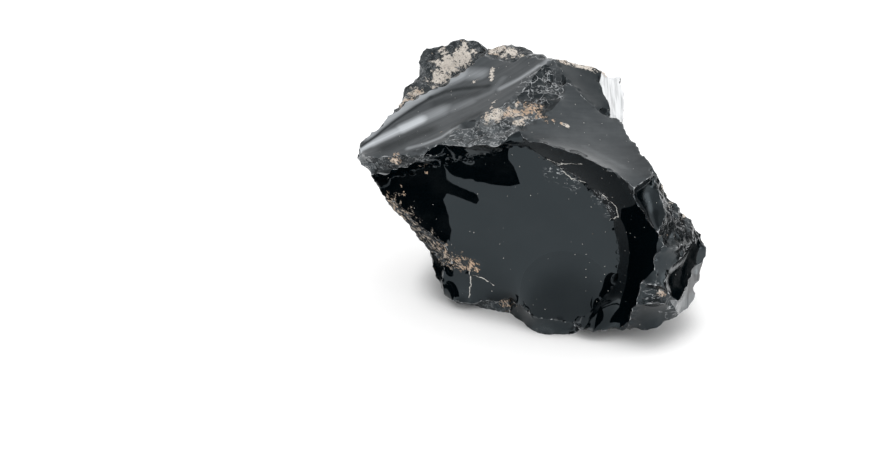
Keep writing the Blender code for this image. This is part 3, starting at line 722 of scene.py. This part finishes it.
def relief(scar, points, gaps, axes):
    """How far each point of a scar stands out of its plain dish."""
    fade = np.minimum(1.0, gaps / EDGE_FADE)
    rise = scar.crumple * folds(points, CRUMPLE_LENGTH)
    if scar.crumple:
        rise += 0.3 * scar.crumple * folds(points, CRUMPLE_LENGTH / 3)
    if scar.blow:
        rise += scar.ripple * rings(points, scar.blow, RIPPLE_LENGTH)
    if scar.finish.silk:
        along = np.linalg.svd(points - points.mean(axis=0), full_matrices=False)[2][0]
        rise += scar.finish.silk * long_waves(points, along, np.cross(axes[2], along))
    rise *= fade
    if scar.finish.shells:
        rise += scar.finish.shells * np.minimum(1.0, gaps / SHELL_SIZE) * shells(points)
    return rise


def stretch_scar(skin, number):
    """Adds the skin of one scar: a membrane over its outline, pushed in to a dish, with its relief."""
    scar = SCARS[number]
    loop = skin.outline(scar.outline)
    ring = np.array([skin.points[i] for i in loop])
    middle, axes = plane_of(ring)
    local = (ring - middle) @ axes.T
    inner, gaps = bed_of_points(local[:, :2], scar.finish.shells > 0 or scar.finish.silk > 0)
    flat = np.vstack([local[:, :2], inner])
    sides = [(i, (i + 1) % len(loop)) for i in range(len(loop))]
    drawn = delaunay_2d_cdt([Vector(p) for p in flat], sides, [], 1, 1e-6)
    triangles = np.array([tuple(t) for t in drawn[2]])
    assert len(drawn[0]) == len(flat), scar.outline

    sheet = Membrane(flat, triangles, len(loop))
    rise = sheet.settled(local[:, 2], 0.0)
    bowl = sheet.settled(0.0, sheet.share)
    dish = 1 - (1 - bowl / bowl.max()) ** scar.bed
    placed = middle + np.column_stack([inner, rise - scar.depth * dish]) @ axes
    placed += relief(scar, placed, gaps, axes)[:, None] * axes[2]
    index = np.array(loop + [skin.add(at) for at in placed])
    skin.triangles += index[triangles].tolist()
    skin.scar_of += [number] * len(triangles)

    own = np.vstack([ring, placed])
    blow = scar.blow or middle
    crisp = skin.crisp_part(scar.outline)
    edge_gap = gap_to(local[crisp, :2], flat) if len(crisp) else np.full(len(flat), 99.0)
    skin.note("gap", edge_gap[triangles])
    skin.note("ring", np.log1p(FINE_RIPPLE_GROWTH * distances(own, blow))[triangles])
    skin.note("way", ways_out(own, middle, axes, blow)[triangles])
    for kind in ("ripples", "lines", "frost", "painted_reflection", "painted_gleam", "haze", "sheen"):
        skin.note(kind, np.full(triangles.shape, getattr(scar.finish, kind)))


def close_base(skin):
    """Adds the flat face that the chunk rests on."""
    loop = skin.outline(RESTING_FACE)
    flat = [Vector((-skin.points[i][0], skin.points[i][1])) for i in loop]
    sides = [(i, (i + 1) % len(loop)) for i in range(len(loop))]
    drawn = delaunay_2d_cdt(flat, sides, [], 1, 1e-6)
    skin.triangles += [[loop[i] for i in corners] for corners in drawn[2]]
    skin.scar_of += [len(SCARS)] * len(drawn[2])
    for kind in skin.notes:
        skin.note(kind, np.zeros((len(drawn[2]), 9 if kind == "way" else 3)))


def nick_ridges(points, skin, draw):
    """Knocks small chips out of the ridges, larger ones beside rough scars."""
    calm = {side for scar in SCARS if scar.finish is MIRROR for side in sides_of(scar.outline)}
    rough = {side for scar in SCARS if scar.finish.shells for side in sides_of(scar.outline)}
    for ends, line in skin.ridges.items():
        if ends in SOFT_RIDGES:
            continue
        radii = ROUGH_CHIP_RADIUS if {ends, ends[::-1]} & rough else CHIP_RADIUS
        if {ends, ends[::-1]} & calm:
            radii = CALM_CHIP_RADIUS
        for _ in range(int(len(line) * SPACING / CHIP_EVERY)):
            place = points[draw.choice(line)]
            points = knock(points, place, draw.uniform(*radii), draw)
    return points


def inward_from(place):
    """The way from a place to the heart of the stone."""
    return unit(np.array(HEART) - place)


def knock(points, place, radius, draw):
    """Bites one hollow out at a place, tilted a little at random from straight in."""
    depth = radius * draw.uniform(*CHIP_DEPTH)
    tilt = [draw.gauss(0, KNOCK_TILT) for _ in range(3)]
    return bitten(points, place, radius, depth, unit(inward_from(place) + tilt))


def raise_knobs(points):
    for place, radius, height in KNOBS:
        near = np.maximum(0.0, 1 - distances(points, place) / radius)
        points -= (height * eased(near))[:, None] * inward_from(place)
    return points


def bite_chips(points):
    for place, radius, depth in CHIPS:
        points = bitten(points, place, radius, depth, inward_from(place))
    return points


def normals_of(points, corners):
    a, b, c = points[corners[:, 0]], points[corners[:, 1]], points[corners[:, 2]]
    facing = np.cross(b - a, c - a)
    total = np.zeros_like(points)
    for k in range(3):
        for axis in range(3):
            total[:, axis] += np.bincount(corners[:, k], facing[:, axis], len(points))
    return total / np.maximum(np.linalg.norm(total, axis=1), 1e-12)[:, None]


def mean_of_neighbours(values, corners):
    """Each point's average over the triangles' other corners, of one number a point."""
    total = np.zeros(len(values))
    count = np.zeros(len(values))
    for k in range(3):
        for other in (1, 2):
            total += np.bincount(corners[:, k], values[corners[:, (k + other) % 3]], len(values))
            count += np.bincount(corners[:, k], minlength=len(values))
    return total / np.maximum(count, 1)


def crust_of_scars(skin, corners, count):
    """How much crust the finishes give each point, averaged over the scars that meet there."""
    worth = [scar.finish.crust for scar in SCARS] + [0.0]
    of_face = np.array(worth)[skin.scar_of]
    total = sum(np.bincount(corners[:, k], of_face, count) for k in range(3))
    return total / np.maximum(sum(np.bincount(corners[:, k], minlength=count) for k in range(3)), 1)


def crust_fields(points, covered):
    """How far the crust reaches at each point, above 0 where it is there, and how pale it is."""
    field = 2 * covered - 1
    pale = np.full(len(points), 0.5)
    for place, radius, paleness in PATCHES:
        here = 1 - distances(points, place) / radius
        pale = np.where(here > np.maximum(field, -1), paleness, pale)
        field = np.maximum(field, here)
    return field + 0.9 * soft_noise(points, 2.2) + 0.7 * soft_noise(points, 0.9), pale


def gap_to_line(spots, line):
    """Distance from each flat spot to a line of straight stretches."""
    gap = np.full(len(spots), np.inf)
    for start, end in zip(np.array(line[:-1], float), np.array(line[1:], float)):
        side = end - start
        share = np.clip((spots - start) @ side / (side @ side), 0, 1)
        gap = np.minimum(gap, np.linalg.norm(spots - start - share[:, None] * side, axis=1))
    return gap


def painted_sheen_field(points):
    """How bright the painted sheen on the silk is at each point, from its painted highlight streaks and
    painted dark reflections.
    """
    bright = np.full(len(points), PAINTED_SHEEN_BASE)
    for worth, reach, line in PAINTED_SHEEN_STREAKS:
        near = eased(np.clip(1 - gap_to_line(points[:, :2], line) / reach, 0, 1))
        bright = np.maximum(bright, worth * near) if worth > 0 else bright * (1 + worth * near)
    return bright


def splinter_field(points):
    """How near each point is to the middle of a splintered place, from 0 at its rim to 1."""
    field = np.zeros(len(points))
    for place, radius in SPLINTERS:
        field = np.maximum(field, 1 - distances(points, place) / radius)
    return field


def rim_field(points, corners):
    """How sharply the surface bends outward at each point, in 1/mm."""
    normals = normals_of(points, corners)
    sunk = [points[:, axis] - mean_of_neighbours(points[:, axis], corners) for axis in range(3)]
    bend = (np.column_stack(sunk) * normals).sum(axis=1) / SPACING
    return (bend + mean_of_neighbours(bend, corners)) / 2


def make_skin():
    """The stone's points and triangles, and its fields by point and by corner, in map millimetres."""
    draw = random.Random(SEED)
    skin = Skin()
    for number in range(len(SCARS)):
        stretch_scar(skin, number)
    close_base(skin)
    corners = np.array(skin.triangles)
    points = np.array(skin.points)
    resting = points[:, 2] < FLOOR + REST_BAND
    kept = points[resting].copy()
    points = bite_chips(raise_knobs(points))
    low, high = points.min(axis=0), points.max(axis=0)
    foot = np.array([(low[0] + high[0]) / 2, (low[1] + high[1]) / 2, FLOOR])
    points = nick_ridges(points, skin, draw)

    crust, pale = crust_fields(points, crust_of_scars(skin, corners, len(points)))
    covered = np.clip(crust * 3, 0, 1)
    lift = covered * (0.12 + 0.3 * soft_noise(points, 1.1) + 0.15 * soft_noise(points, 0.6))
    points += lift[:, None] * normals_of(points, corners)
    points[resting] = kept
    by_point = {"crust": crust, "pale": pale, "rim": rim_field(points, corners)}
    # streaks: the painted sheen on the silk and the shoulder
    by_point |= {"streaks": painted_sheen_field(points), "splinters": splinter_field(points)}
    by_corner = {kind: np.concatenate(parts) for kind, parts in skin.notes.items()}
    return points, corners, by_point, by_corner, foot


class Nodes:
    """The node tree of a material or world. It starts empty and grows by one call a node."""

    def __init__(self, owner):
        owner.use_nodes = True
        self.tree = owner.node_tree
        self.tree.nodes.clear()

    def add(self, kind, inputs, output=0, **settings):
        """A node with its inputs linked or set, by name or place; returns one output."""
        node = self.tree.nodes.new("ShaderNode" + kind)
        for name, value in settings.items():
            setattr(node, name, value)
        for socket, value in inputs.items():
            if isinstance(value, bpy.types.NodeSocket):
                self.tree.links.new(value, node.inputs[socket])
            else:
                node.inputs[socket].default_value = value
        return node.outputs[output] if node.outputs else None

    def math(self, operation, *values):
        return self.add("Math", dict(enumerate(values)), operation=operation)

    def over_all(self, operation, values):
        return reduce(lambda so_far, value: self.math(operation, so_far, value), values)

    def times(self, *values):
        return self.over_all("MULTIPLY", values)

    def highest(self, *values):
        return self.over_all("MAXIMUM", values)

    def vector(self, operation, *values, output=0):
        return self.add("VectorMath", dict(enumerate(values)), output, operation=operation)

    def scaled(self, vector, size):
        return self.add("VectorMath", {0: vector, 3: size}, operation="SCALE")

    def ramp(self, value, low, high, to_low=0.0, to_high=1.0):
        inputs = {0: value, 1: low, 2: high, 3: to_low, 4: to_high}
        return self.add("MapRange", inputs, interpolation_type="SMOOTHSTEP")

    def noise(self, at, per_mm, detail=2.0, roughness=0.5, output=0):
        inputs = {"Vector": at, "Scale": per_mm, "Detail": detail, "Roughness": roughness}
        return self.add("TexNoise", inputs, output)

    def strayed(self, at, per_mm, reach):
        """A place that strays at random, by up to about half the reach."""
        stray = self.vector("SUBTRACT", self.noise(at, per_mm, 3, output=1), (0.5, 0.5, 0.5))
        return self.vector("ADD", at, self.scaled(stray, reach))

    def mix(self, share, first, second):
        return self.add("Mix", {0: share, 6: first, 7: second}, 2, data_type="RGBA")

    def field(self, name):
        return self.add("Attribute", {}, 2, attribute_name=name)


def map_place(nodes, foot):
    """The shaded point on the map, in millimetres."""
    at = nodes.scaled(nodes.add("TexCoord", {}, 3), 1 / MM)
    return nodes.vector("ADD", at, tuple(foot))


def grained(nodes, at):
    """The place on the map, drawn in along the crust's grain and out across it."""
    along = nodes.times(nodes.vector("DOT_PRODUCT", at, CRUST_ALONG, output=1), 0.5)
    across = nodes.times(nodes.vector("DOT_PRODUCT", at, CRUST_ACROSS, output=1), 1.4)
    return nodes.add("CombineXYZ", {0: along, 1: across, 2: nodes.add("SeparateXYZ", {0: at}, 1)})


def crust_colour(nodes, at):
    paleness = nodes.math("MULTIPLY_ADD", nodes.noise(at, 0.4, 3), 0.7, nodes.field("pale"))
    colour = nodes.mix(nodes.ramp(paleness, 0.45, 0.8), CRUST_BROWN, CRUST_TAN)
    colour = nodes.mix(nodes.ramp(paleness, 0.85, 1.25), colour, CRUST_PALE)
    return nodes.mix(nodes.ramp(nodes.noise(at, 2.5, 3, 0.7), 0.45, 0.75), colour, CRUST_BROWN)


def crust_cover(nodes, at):
    """Where the crust lies: in ragged patches, with pits down to the glass, most where it is dark."""
    ragged = nodes.math("SUBTRACT", nodes.noise(at, 2.2, 4, 0.6), 0.5)
    cover = nodes.ramp(nodes.math("MULTIPLY_ADD", ragged, 1.6, nodes.field("crust")), -0.05, 0.28)
    pits = nodes.noise(grained(nodes, at), 1.3, 4, 0.6)
    pits = nodes.math("MULTIPLY_ADD", nodes.field("pale"), -0.2, pits)
    return nodes.times(cover, nodes.ramp(pits, 0.39, 0.45, 1.0, 0.0))


def fibres(nodes, at):
    """The fine grain of the silk's painted sheen, drawn out along it."""
    along = nodes.times(nodes.vector("DOT_PRODUCT", at, SILK_ALONG, output=1), 0.07)
    across = nodes.times(nodes.vector("DOT_PRODUCT", at, SILK_ACROSS, output=1), 0.9)
    grain = nodes.noise(nodes.add("CombineXYZ", {0: along, 1: across}), 1.0, 4, 0.55)
    return nodes.ramp(grain, 0.3, 0.7, 0.84, 1.08)


def gap_to_side(nodes, at, start, end):
    """Distance from a point to one straight stretch of a vein, both seen from the front."""
    along = Vector((end[0] - start[0], 0, end[1] - start[1]))
    reach = nodes.vector("SUBTRACT", at, (start[0], 0, start[1]))
    share = nodes.vector("DOT_PRODUCT", reach, tuple(along / along.length_squared), output=1)
    share = nodes.math("MINIMUM", nodes.math("MAXIMUM", share, 0.0), 1.0)
    return nodes.vector("DISTANCE", reach, nodes.scaled(tuple(along), share), output=1)


def vein_mask(nodes, at):
    """Where the pale veins run, on the front of the stone."""
    flat = nodes.vector("MULTIPLY", nodes.strayed(at, 0.7, 1.6), (1, 0, 1))
    gaps = [gap_to_side(nodes, flat, *side) for line in VEINS for side in zip(line, line[1:])]
    width = nodes.ramp(nodes.noise(at, 0.5, 2), 0.36, 0.6, 0.02, VEIN_WIDTH)
    near = nodes.math("LESS_THAN", nodes.over_all("MINIMUM", gaps), width)
    in_front = nodes.math("LESS_THAN", nodes.add("SeparateXYZ", {0: at}, 1), VEINS_END)
    return nodes.times(near, in_front)


def speck_mask(nodes, at):
    """Small pale specks of dust and crushed glass, one to some of the cells of a Voronoi pattern."""
    gap = nodes.add("TexVoronoi", {"Vector": at, "Scale": SPECKS_PER_MM})
    cell = nodes.add("TexVoronoi", {"Vector": at, "Scale": SPECKS_PER_MM}, 1)
    chance = nodes.add("SeparateXYZ", {0: cell})
    size = nodes.ramp(chance, 0.78, 1.0, 0.0, SPECK_RADIUS * SPECKS_PER_MM)
    return nodes.math("LESS_THAN", gap, size)


def rim_crush_and_highlight_mask(nodes, at):
    """Thin broken pale lines along the crisp ridges: crushed glass with painted edge highlights."""
    width = nodes.ramp(nodes.noise(at, 0.45, 4, 0.6), 0.48, 0.75, 0.0, RIM_WIDTH)
    inner = nodes.times(width, 0.55)
    return nodes.add("MapRange", {0: nodes.field("gap"), 1: inner, 2: width, 3: 1.0, 4: 0.0})


def shell_pattern(nodes, at):
    """The rise of tiny shells in crushed glass, and a mask of the pale lines between them."""
    cells = {"Vector": nodes.strayed(at, 0.6, 1.5), "Scale": SHELLS_PER_MM}
    gap = nodes.add("TexVoronoi", cells)
    thin = nodes.ramp(nodes.add("TexVoronoi", cells, feature="DISTANCE_TO_EDGE"), 0.02, 0.10, 1.0, 0.0)
    return nodes.times(gap, gap), nodes.times(thin, nodes.ramp(nodes.noise(at, 0.7, 3), 0.5, 0.62))


def wrinkle_mask(nodes, at):
    """A broken net of pale lines in the crumpled corner."""
    cells = {"Vector": nodes.strayed(at, 0.35, 3.0), "Scale": WRINKLES_PER_MM}
    thin = nodes.ramp(nodes.add("TexVoronoi", cells, feature="DISTANCE_TO_EDGE"), 0.012, 0.04, 1.0, 0.0)
    some = nodes.ramp(nodes.noise(at, 0.5), 0.38, 0.6, 0.1, 1.0)
    inside = nodes.ramp(nodes.vector("DISTANCE", at, CRUMPLE_MIDDLE, output=1), *CRUMPLE_REACH, 1.0, 0.0)
    return nodes.times(thin, some, inside)


def curl_mask(nodes, at):
    """Thin curled lines where the glass broke up in splinters or is crushed."""
    drawn_out = nodes.vector("MULTIPLY", at, (0.45, 1.0, 1.25))
    level = nodes.math("SUBTRACT", nodes.noise(drawn_out, 0.42, 3, 0.6), 0.5)
    thin = nodes.ramp(nodes.math("ABSOLUTE", level), 0.006, 0.018, 1.0, 0.0)
    some = nodes.ramp(nodes.noise(at, 0.6), 0.4, 0.55)
    splintered = nodes.ramp(nodes.field("splinters"), 0.0, 0.5)
    return nodes.times(thin, some, nodes.highest(splintered, nodes.field("frost")))


def crushed_and_highlight_mask(nodes, at, fan, between):
    """Where the glass is drawn pale: crushed between shells, on hackles and in curls, and on sharp bends and
    rims crushed with painted edge highlights.
    """
    frost = nodes.field("frost")
    hackled = nodes.times(nodes.ramp(fan, 0.60, 0.68), nodes.ramp(nodes.noise(at, 0.4), 0.5, 0.6))
    # painted edge highlight, with crushed glass, on sharp outward bends
    bent = nodes.ramp(nodes.field("rim"), 0.10, 0.35)
    return nodes.highest(
        nodes.times(nodes.highest(between, hackled), frost),
        nodes.times(bent, nodes.ramp(frost, 0.0, 0.5, 0.2, 0.8)),
        rim_crush_and_highlight_mask(nodes, at),
        curl_mask(nodes, at),
        wrinkle_mask(nodes, at),
    )


def painted_reflection_cover(nodes, at):
    """Where the painted white grazing reflection lies, in upright streaks."""
    streaks = nodes.noise(nodes.vector("MULTIPLY", at, (1.2, 0.08, 0.08)), 1.0, 3, 0.5)
    return nodes.times(nodes.field("painted_reflection"), nodes.ramp(streaks, 0.3, 0.6, 0.6, 1.0))


def small_relief(nodes, at, fan, rise, crust):
    """The height of what is too small for the mesh: ripples, hackle lines, tiny shells and crust grain."""
    ripple = nodes.math("SINE", nodes.times(nodes.field("ring"), RIPPLE_TURNS))
    ripple = nodes.times(ripple, nodes.ramp(nodes.noise(at, 0.08), 0.4, 0.65), nodes.field("ripples"))
    near = nodes.ramp(nodes.field("gap"), 0.0, LINES_REACH, 1.0, 0.12)
    height = nodes.math("ADD", ripple, nodes.times(fan, near, nodes.field("lines")))
    height = nodes.math("MULTIPLY_ADD", nodes.times(rise, nodes.field("frost")), SHELL_RISE, height)
    grain = nodes.times(nodes.noise(at, 3.0, 5, 0.65), crust)
    return nodes.math("MULTIPLY_ADD", grain, CRUST_GRAIN, height)


def obsidian(foot):
    """Black glass with silky breaks that carry a painted sheen, crushed breaks with painted edge highlights,
    a painted white grazing reflection, veins, specks and tan crust.
    """
    material = bpy.data.materials.new("obsidian")
    nodes = Nodes(material)
    at = map_place(nodes, foot)
    fan = nodes.noise(nodes.add("Attribute", {}, 1, attribute_name="way"), 1.0, 4, 0.6)
    rise, between = shell_pattern(nodes, at)
    # crushed glass, with painted edge highlights along the rims and sharp bends
    crushed = crushed_and_highlight_mask(nodes, at, fan, between)
    dust = nodes.times(nodes.field("frost"), nodes.ramp(nodes.noise(at, 0.25, 4), 0.35, 0.65, 0.15, 1.0))
    haze = nodes.times(nodes.field("haze"), nodes.ramp(nodes.noise(at, 0.13, 5, 0.6), 0.4, 0.7))
    # painted sheen: highlight streaks drawn on the silk and the shoulder
    painted_gleam = nodes.times(nodes.field("painted_gleam"), nodes.field("streaks"), fibres(nodes, at))
    # painted grazing reflection, in upright streaks
    painted_reflection = painted_reflection_cover(nodes, at)
    dirt = nodes.highest(speck_mask(nodes, at), vein_mask(nodes, at))
    crust = crust_cover(nodes, at)

    colour = nodes.mix(haze, GLASS_BLACK, HAZE_GREY)
    covers = ((painted_gleam, PAINTED_SHEEN_GREY), (dust, FROST_GREY), (crushed, CRUSHED_AND_HIGHLIGHT_GREY), (painted_reflection, PAINTED_REFLECTION_WHITE))
    for cover, own in (*covers, (dirt, SPECK), (crust, crust_colour(nodes, at))):
        colour = nodes.mix(cover, colour, own)
    rough = nodes.ramp(nodes.field("sheen"), 0.0, 1.0, GLOSS_ROUGHNESS, SILK_ROUGHNESS)
    for cover, own in ((dust, 0.3), (crushed, 0.5), (painted_reflection, 0.5), (dirt, 0.7), (crust, 0.92)):
        rough = nodes.highest(rough, nodes.times(cover, own))

    height = small_relief(nodes, at, fan, rise, crust)
    bump = nodes.add("Bump", {"Height": height, "Strength": 1.0, "Distance": MM})
    inputs = {"Base Color": colour, "Roughness": rough, "Normal": bump}
    inputs |= {"IOR": GLASS_IOR, "Specular Tint": GLASS_TINT}
    nodes.add("OutputMaterial", {0: nodes.add("BsdfPrincipled", inputs)})
    return material


def linked(name, data):
    """A new object in the scene."""
    made = bpy.data.objects.new(name, data)
    bpy.context.collection.objects.link(made)
    return made


def mesh_piece(name, points, faces, material):
    mesh = bpy.data.meshes.new(name)
    mesh.from_pydata(points, [], faces)
    mesh.materials.append(material)
    return linked(name, mesh)


def make_stone():
    points, corners, by_point, by_corner, foot = make_skin()
    low, high = (np.array(corner) for corner in solid_box)
    placed = np.clip((points - foot) * MM, low, high)
    stone = mesh_piece("stone", placed.tolist(), corners.tolist(), obsidian(foot))
    mesh = stone.data
    mesh.shade_smooth()
    mesh.set_sharp_from_angle(angle=SHARP_ANGLE)
    for domain, fields in (("POINT", by_point), ("CORNER", by_corner)):
        for name, values in fields.items():
            kind, slot = ("FLOAT_VECTOR", "vector") if values.ndim == 2 else ("FLOAT", "value")
            kept = mesh.attributes.new(name, kind, domain)
            kept.data.foreach_set(slot, values.astype(np.float32).ravel())
    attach(stone, "root")
    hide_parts(NODE)
    return foot


def make_floor():
    """A pale floor with a soft glow of its own, which fades under and beside the stone into a painted
    contact shadow.
    """
    material = bpy.data.materials.new("floor")
    nodes = Nodes(material)
    open_sky = nodes.add("AmbientOcclusion", {"Distance": CONTACT_REACH * MM}, 1)
    # painted contact shadow: the glow dims where the stone shuts out the sky
    glow = nodes.ramp(open_sky, *CONTACT_OPEN, 0.0, FLOOR_GLOW)
    inputs = {"Base Color": FLOOR_WHITE, "Roughness": 1.0, "Specular IOR Level": 0.0}
    inputs |= {"Emission Color": (1, 1, 1, 1), "Emission Strength": glow}
    nodes.add("OutputMaterial", {0: nodes.add("BsdfPrincipled", inputs)})
    half = FLOOR_SIZE / 2
    square = [(-half, -half, 0), (half, -half, 0), (half, half, 0), (-half, half, 0)]
    mesh_piece("floor", square, [range(4)], material)


def make_flags(foot):
    """Black flags and cards that darken parts of the glass and are seen nowhere else."""
    material = bpy.data.materials.new("flag")
    nodes = Nodes(material)
    inputs = {"Base Color": FLAG_BLACK, "Specular IOR Level": 0.0}
    nodes.add("OutputMaterial", {0: nodes.add("BsdfPrincipled", inputs)})
    outlines = [[(x, -before, z) for x, z in corners] for before, corners in FLAGS]
    for number, outline in enumerate([*outlines, *CARDS], 1):
        points = [(Vector(p) - Vector(foot)) * MM for p in outline]
        flag = mesh_piece(f"flag_{number}", points, [range(len(points))], material)
        flag.visible_camera = flag.visible_diffuse = flag.visible_shadow = False


def direction(azimuth, height):
    """The way to a spot of the sky, both in degrees."""
    azimuth, height = math.radians(azimuth), math.radians(height)
    return (math.sin(azimuth) * math.cos(height), math.cos(azimuth) * math.cos(height), math.sin(height))


def make_studio():
    """The studio's walls as a sky, and one broad overhead light that the glass doesn't mirror."""
    world = bpy.data.worlds.new("studio")
    bpy.context.scene.world = world
    nodes = Nodes(world)
    looking = nodes.add("TexCoord", {}, 0)
    upward = nodes.add("SeparateXYZ", {0: looking}, 2)
    light = nodes.ramp(upward, 0.0, HORIZON_FADE, HORIZON_LIGHT, WALL_LIGHT)
    for azimuth, height, full, fading, brightness in WALLS:
        facing = nodes.vector("DOT_PRODUCT", looking, direction(azimuth, height), output=1)
        edge, core = math.cos(math.radians(full + fading)), math.cos(math.radians(full))
        light = nodes.add("Mix", {0: nodes.ramp(facing, edge, core), 2: light, 3: brightness})
    nodes.add("OutputWorld", {0: nodes.add("Background", {"Strength": light})})

    sun = bpy.data.lights.new("overhead", "SUN")
    sun.energy = OVERHEAD_LIGHT
    sun.angle = OVERHEAD_SPREAD
    overhead = linked("overhead", sun)
    overhead.rotation_euler = OVERHEAD_TILT
    overhead.visible_glossy = False


def make_camera(foot):
    """A camera that sees the map's zero point where the photograph has it."""
    data = bpy.data.cameras.new("camera")
    data.lens, data.sensor_width = LENS, SENSOR
    pixels = LENS / SENSOR * PHOTO_SIZE[0]
    aside = (PHOTO_SPOT[0] - PHOTO_SIZE[0] / 2) / pixels
    below = (PHOTO_SPOT[1] - PHOTO_SIZE[1] / 2) / pixels
    ahead = Vector((0, math.cos(PITCH), -math.sin(PITCH)))
    up = Vector((0, math.sin(PITCH), math.cos(PITCH)))
    to_zero = (ahead + Vector((aside, 0, 0)) - up * below) * CAMERA_REACH
    camera = linked("camera", data)
    camera.location = (-Vector(foot) - to_zero) * MM
    camera.rotation_euler = (math.pi / 2 - PITCH, 0, 0)
    bpy.context.scene.camera = camera
    bpy.context.scene.view_settings.view_transform = "Standard"


foot = make_stone()
make_floor()
make_flags(foot)
make_studio()
make_camera(foot)
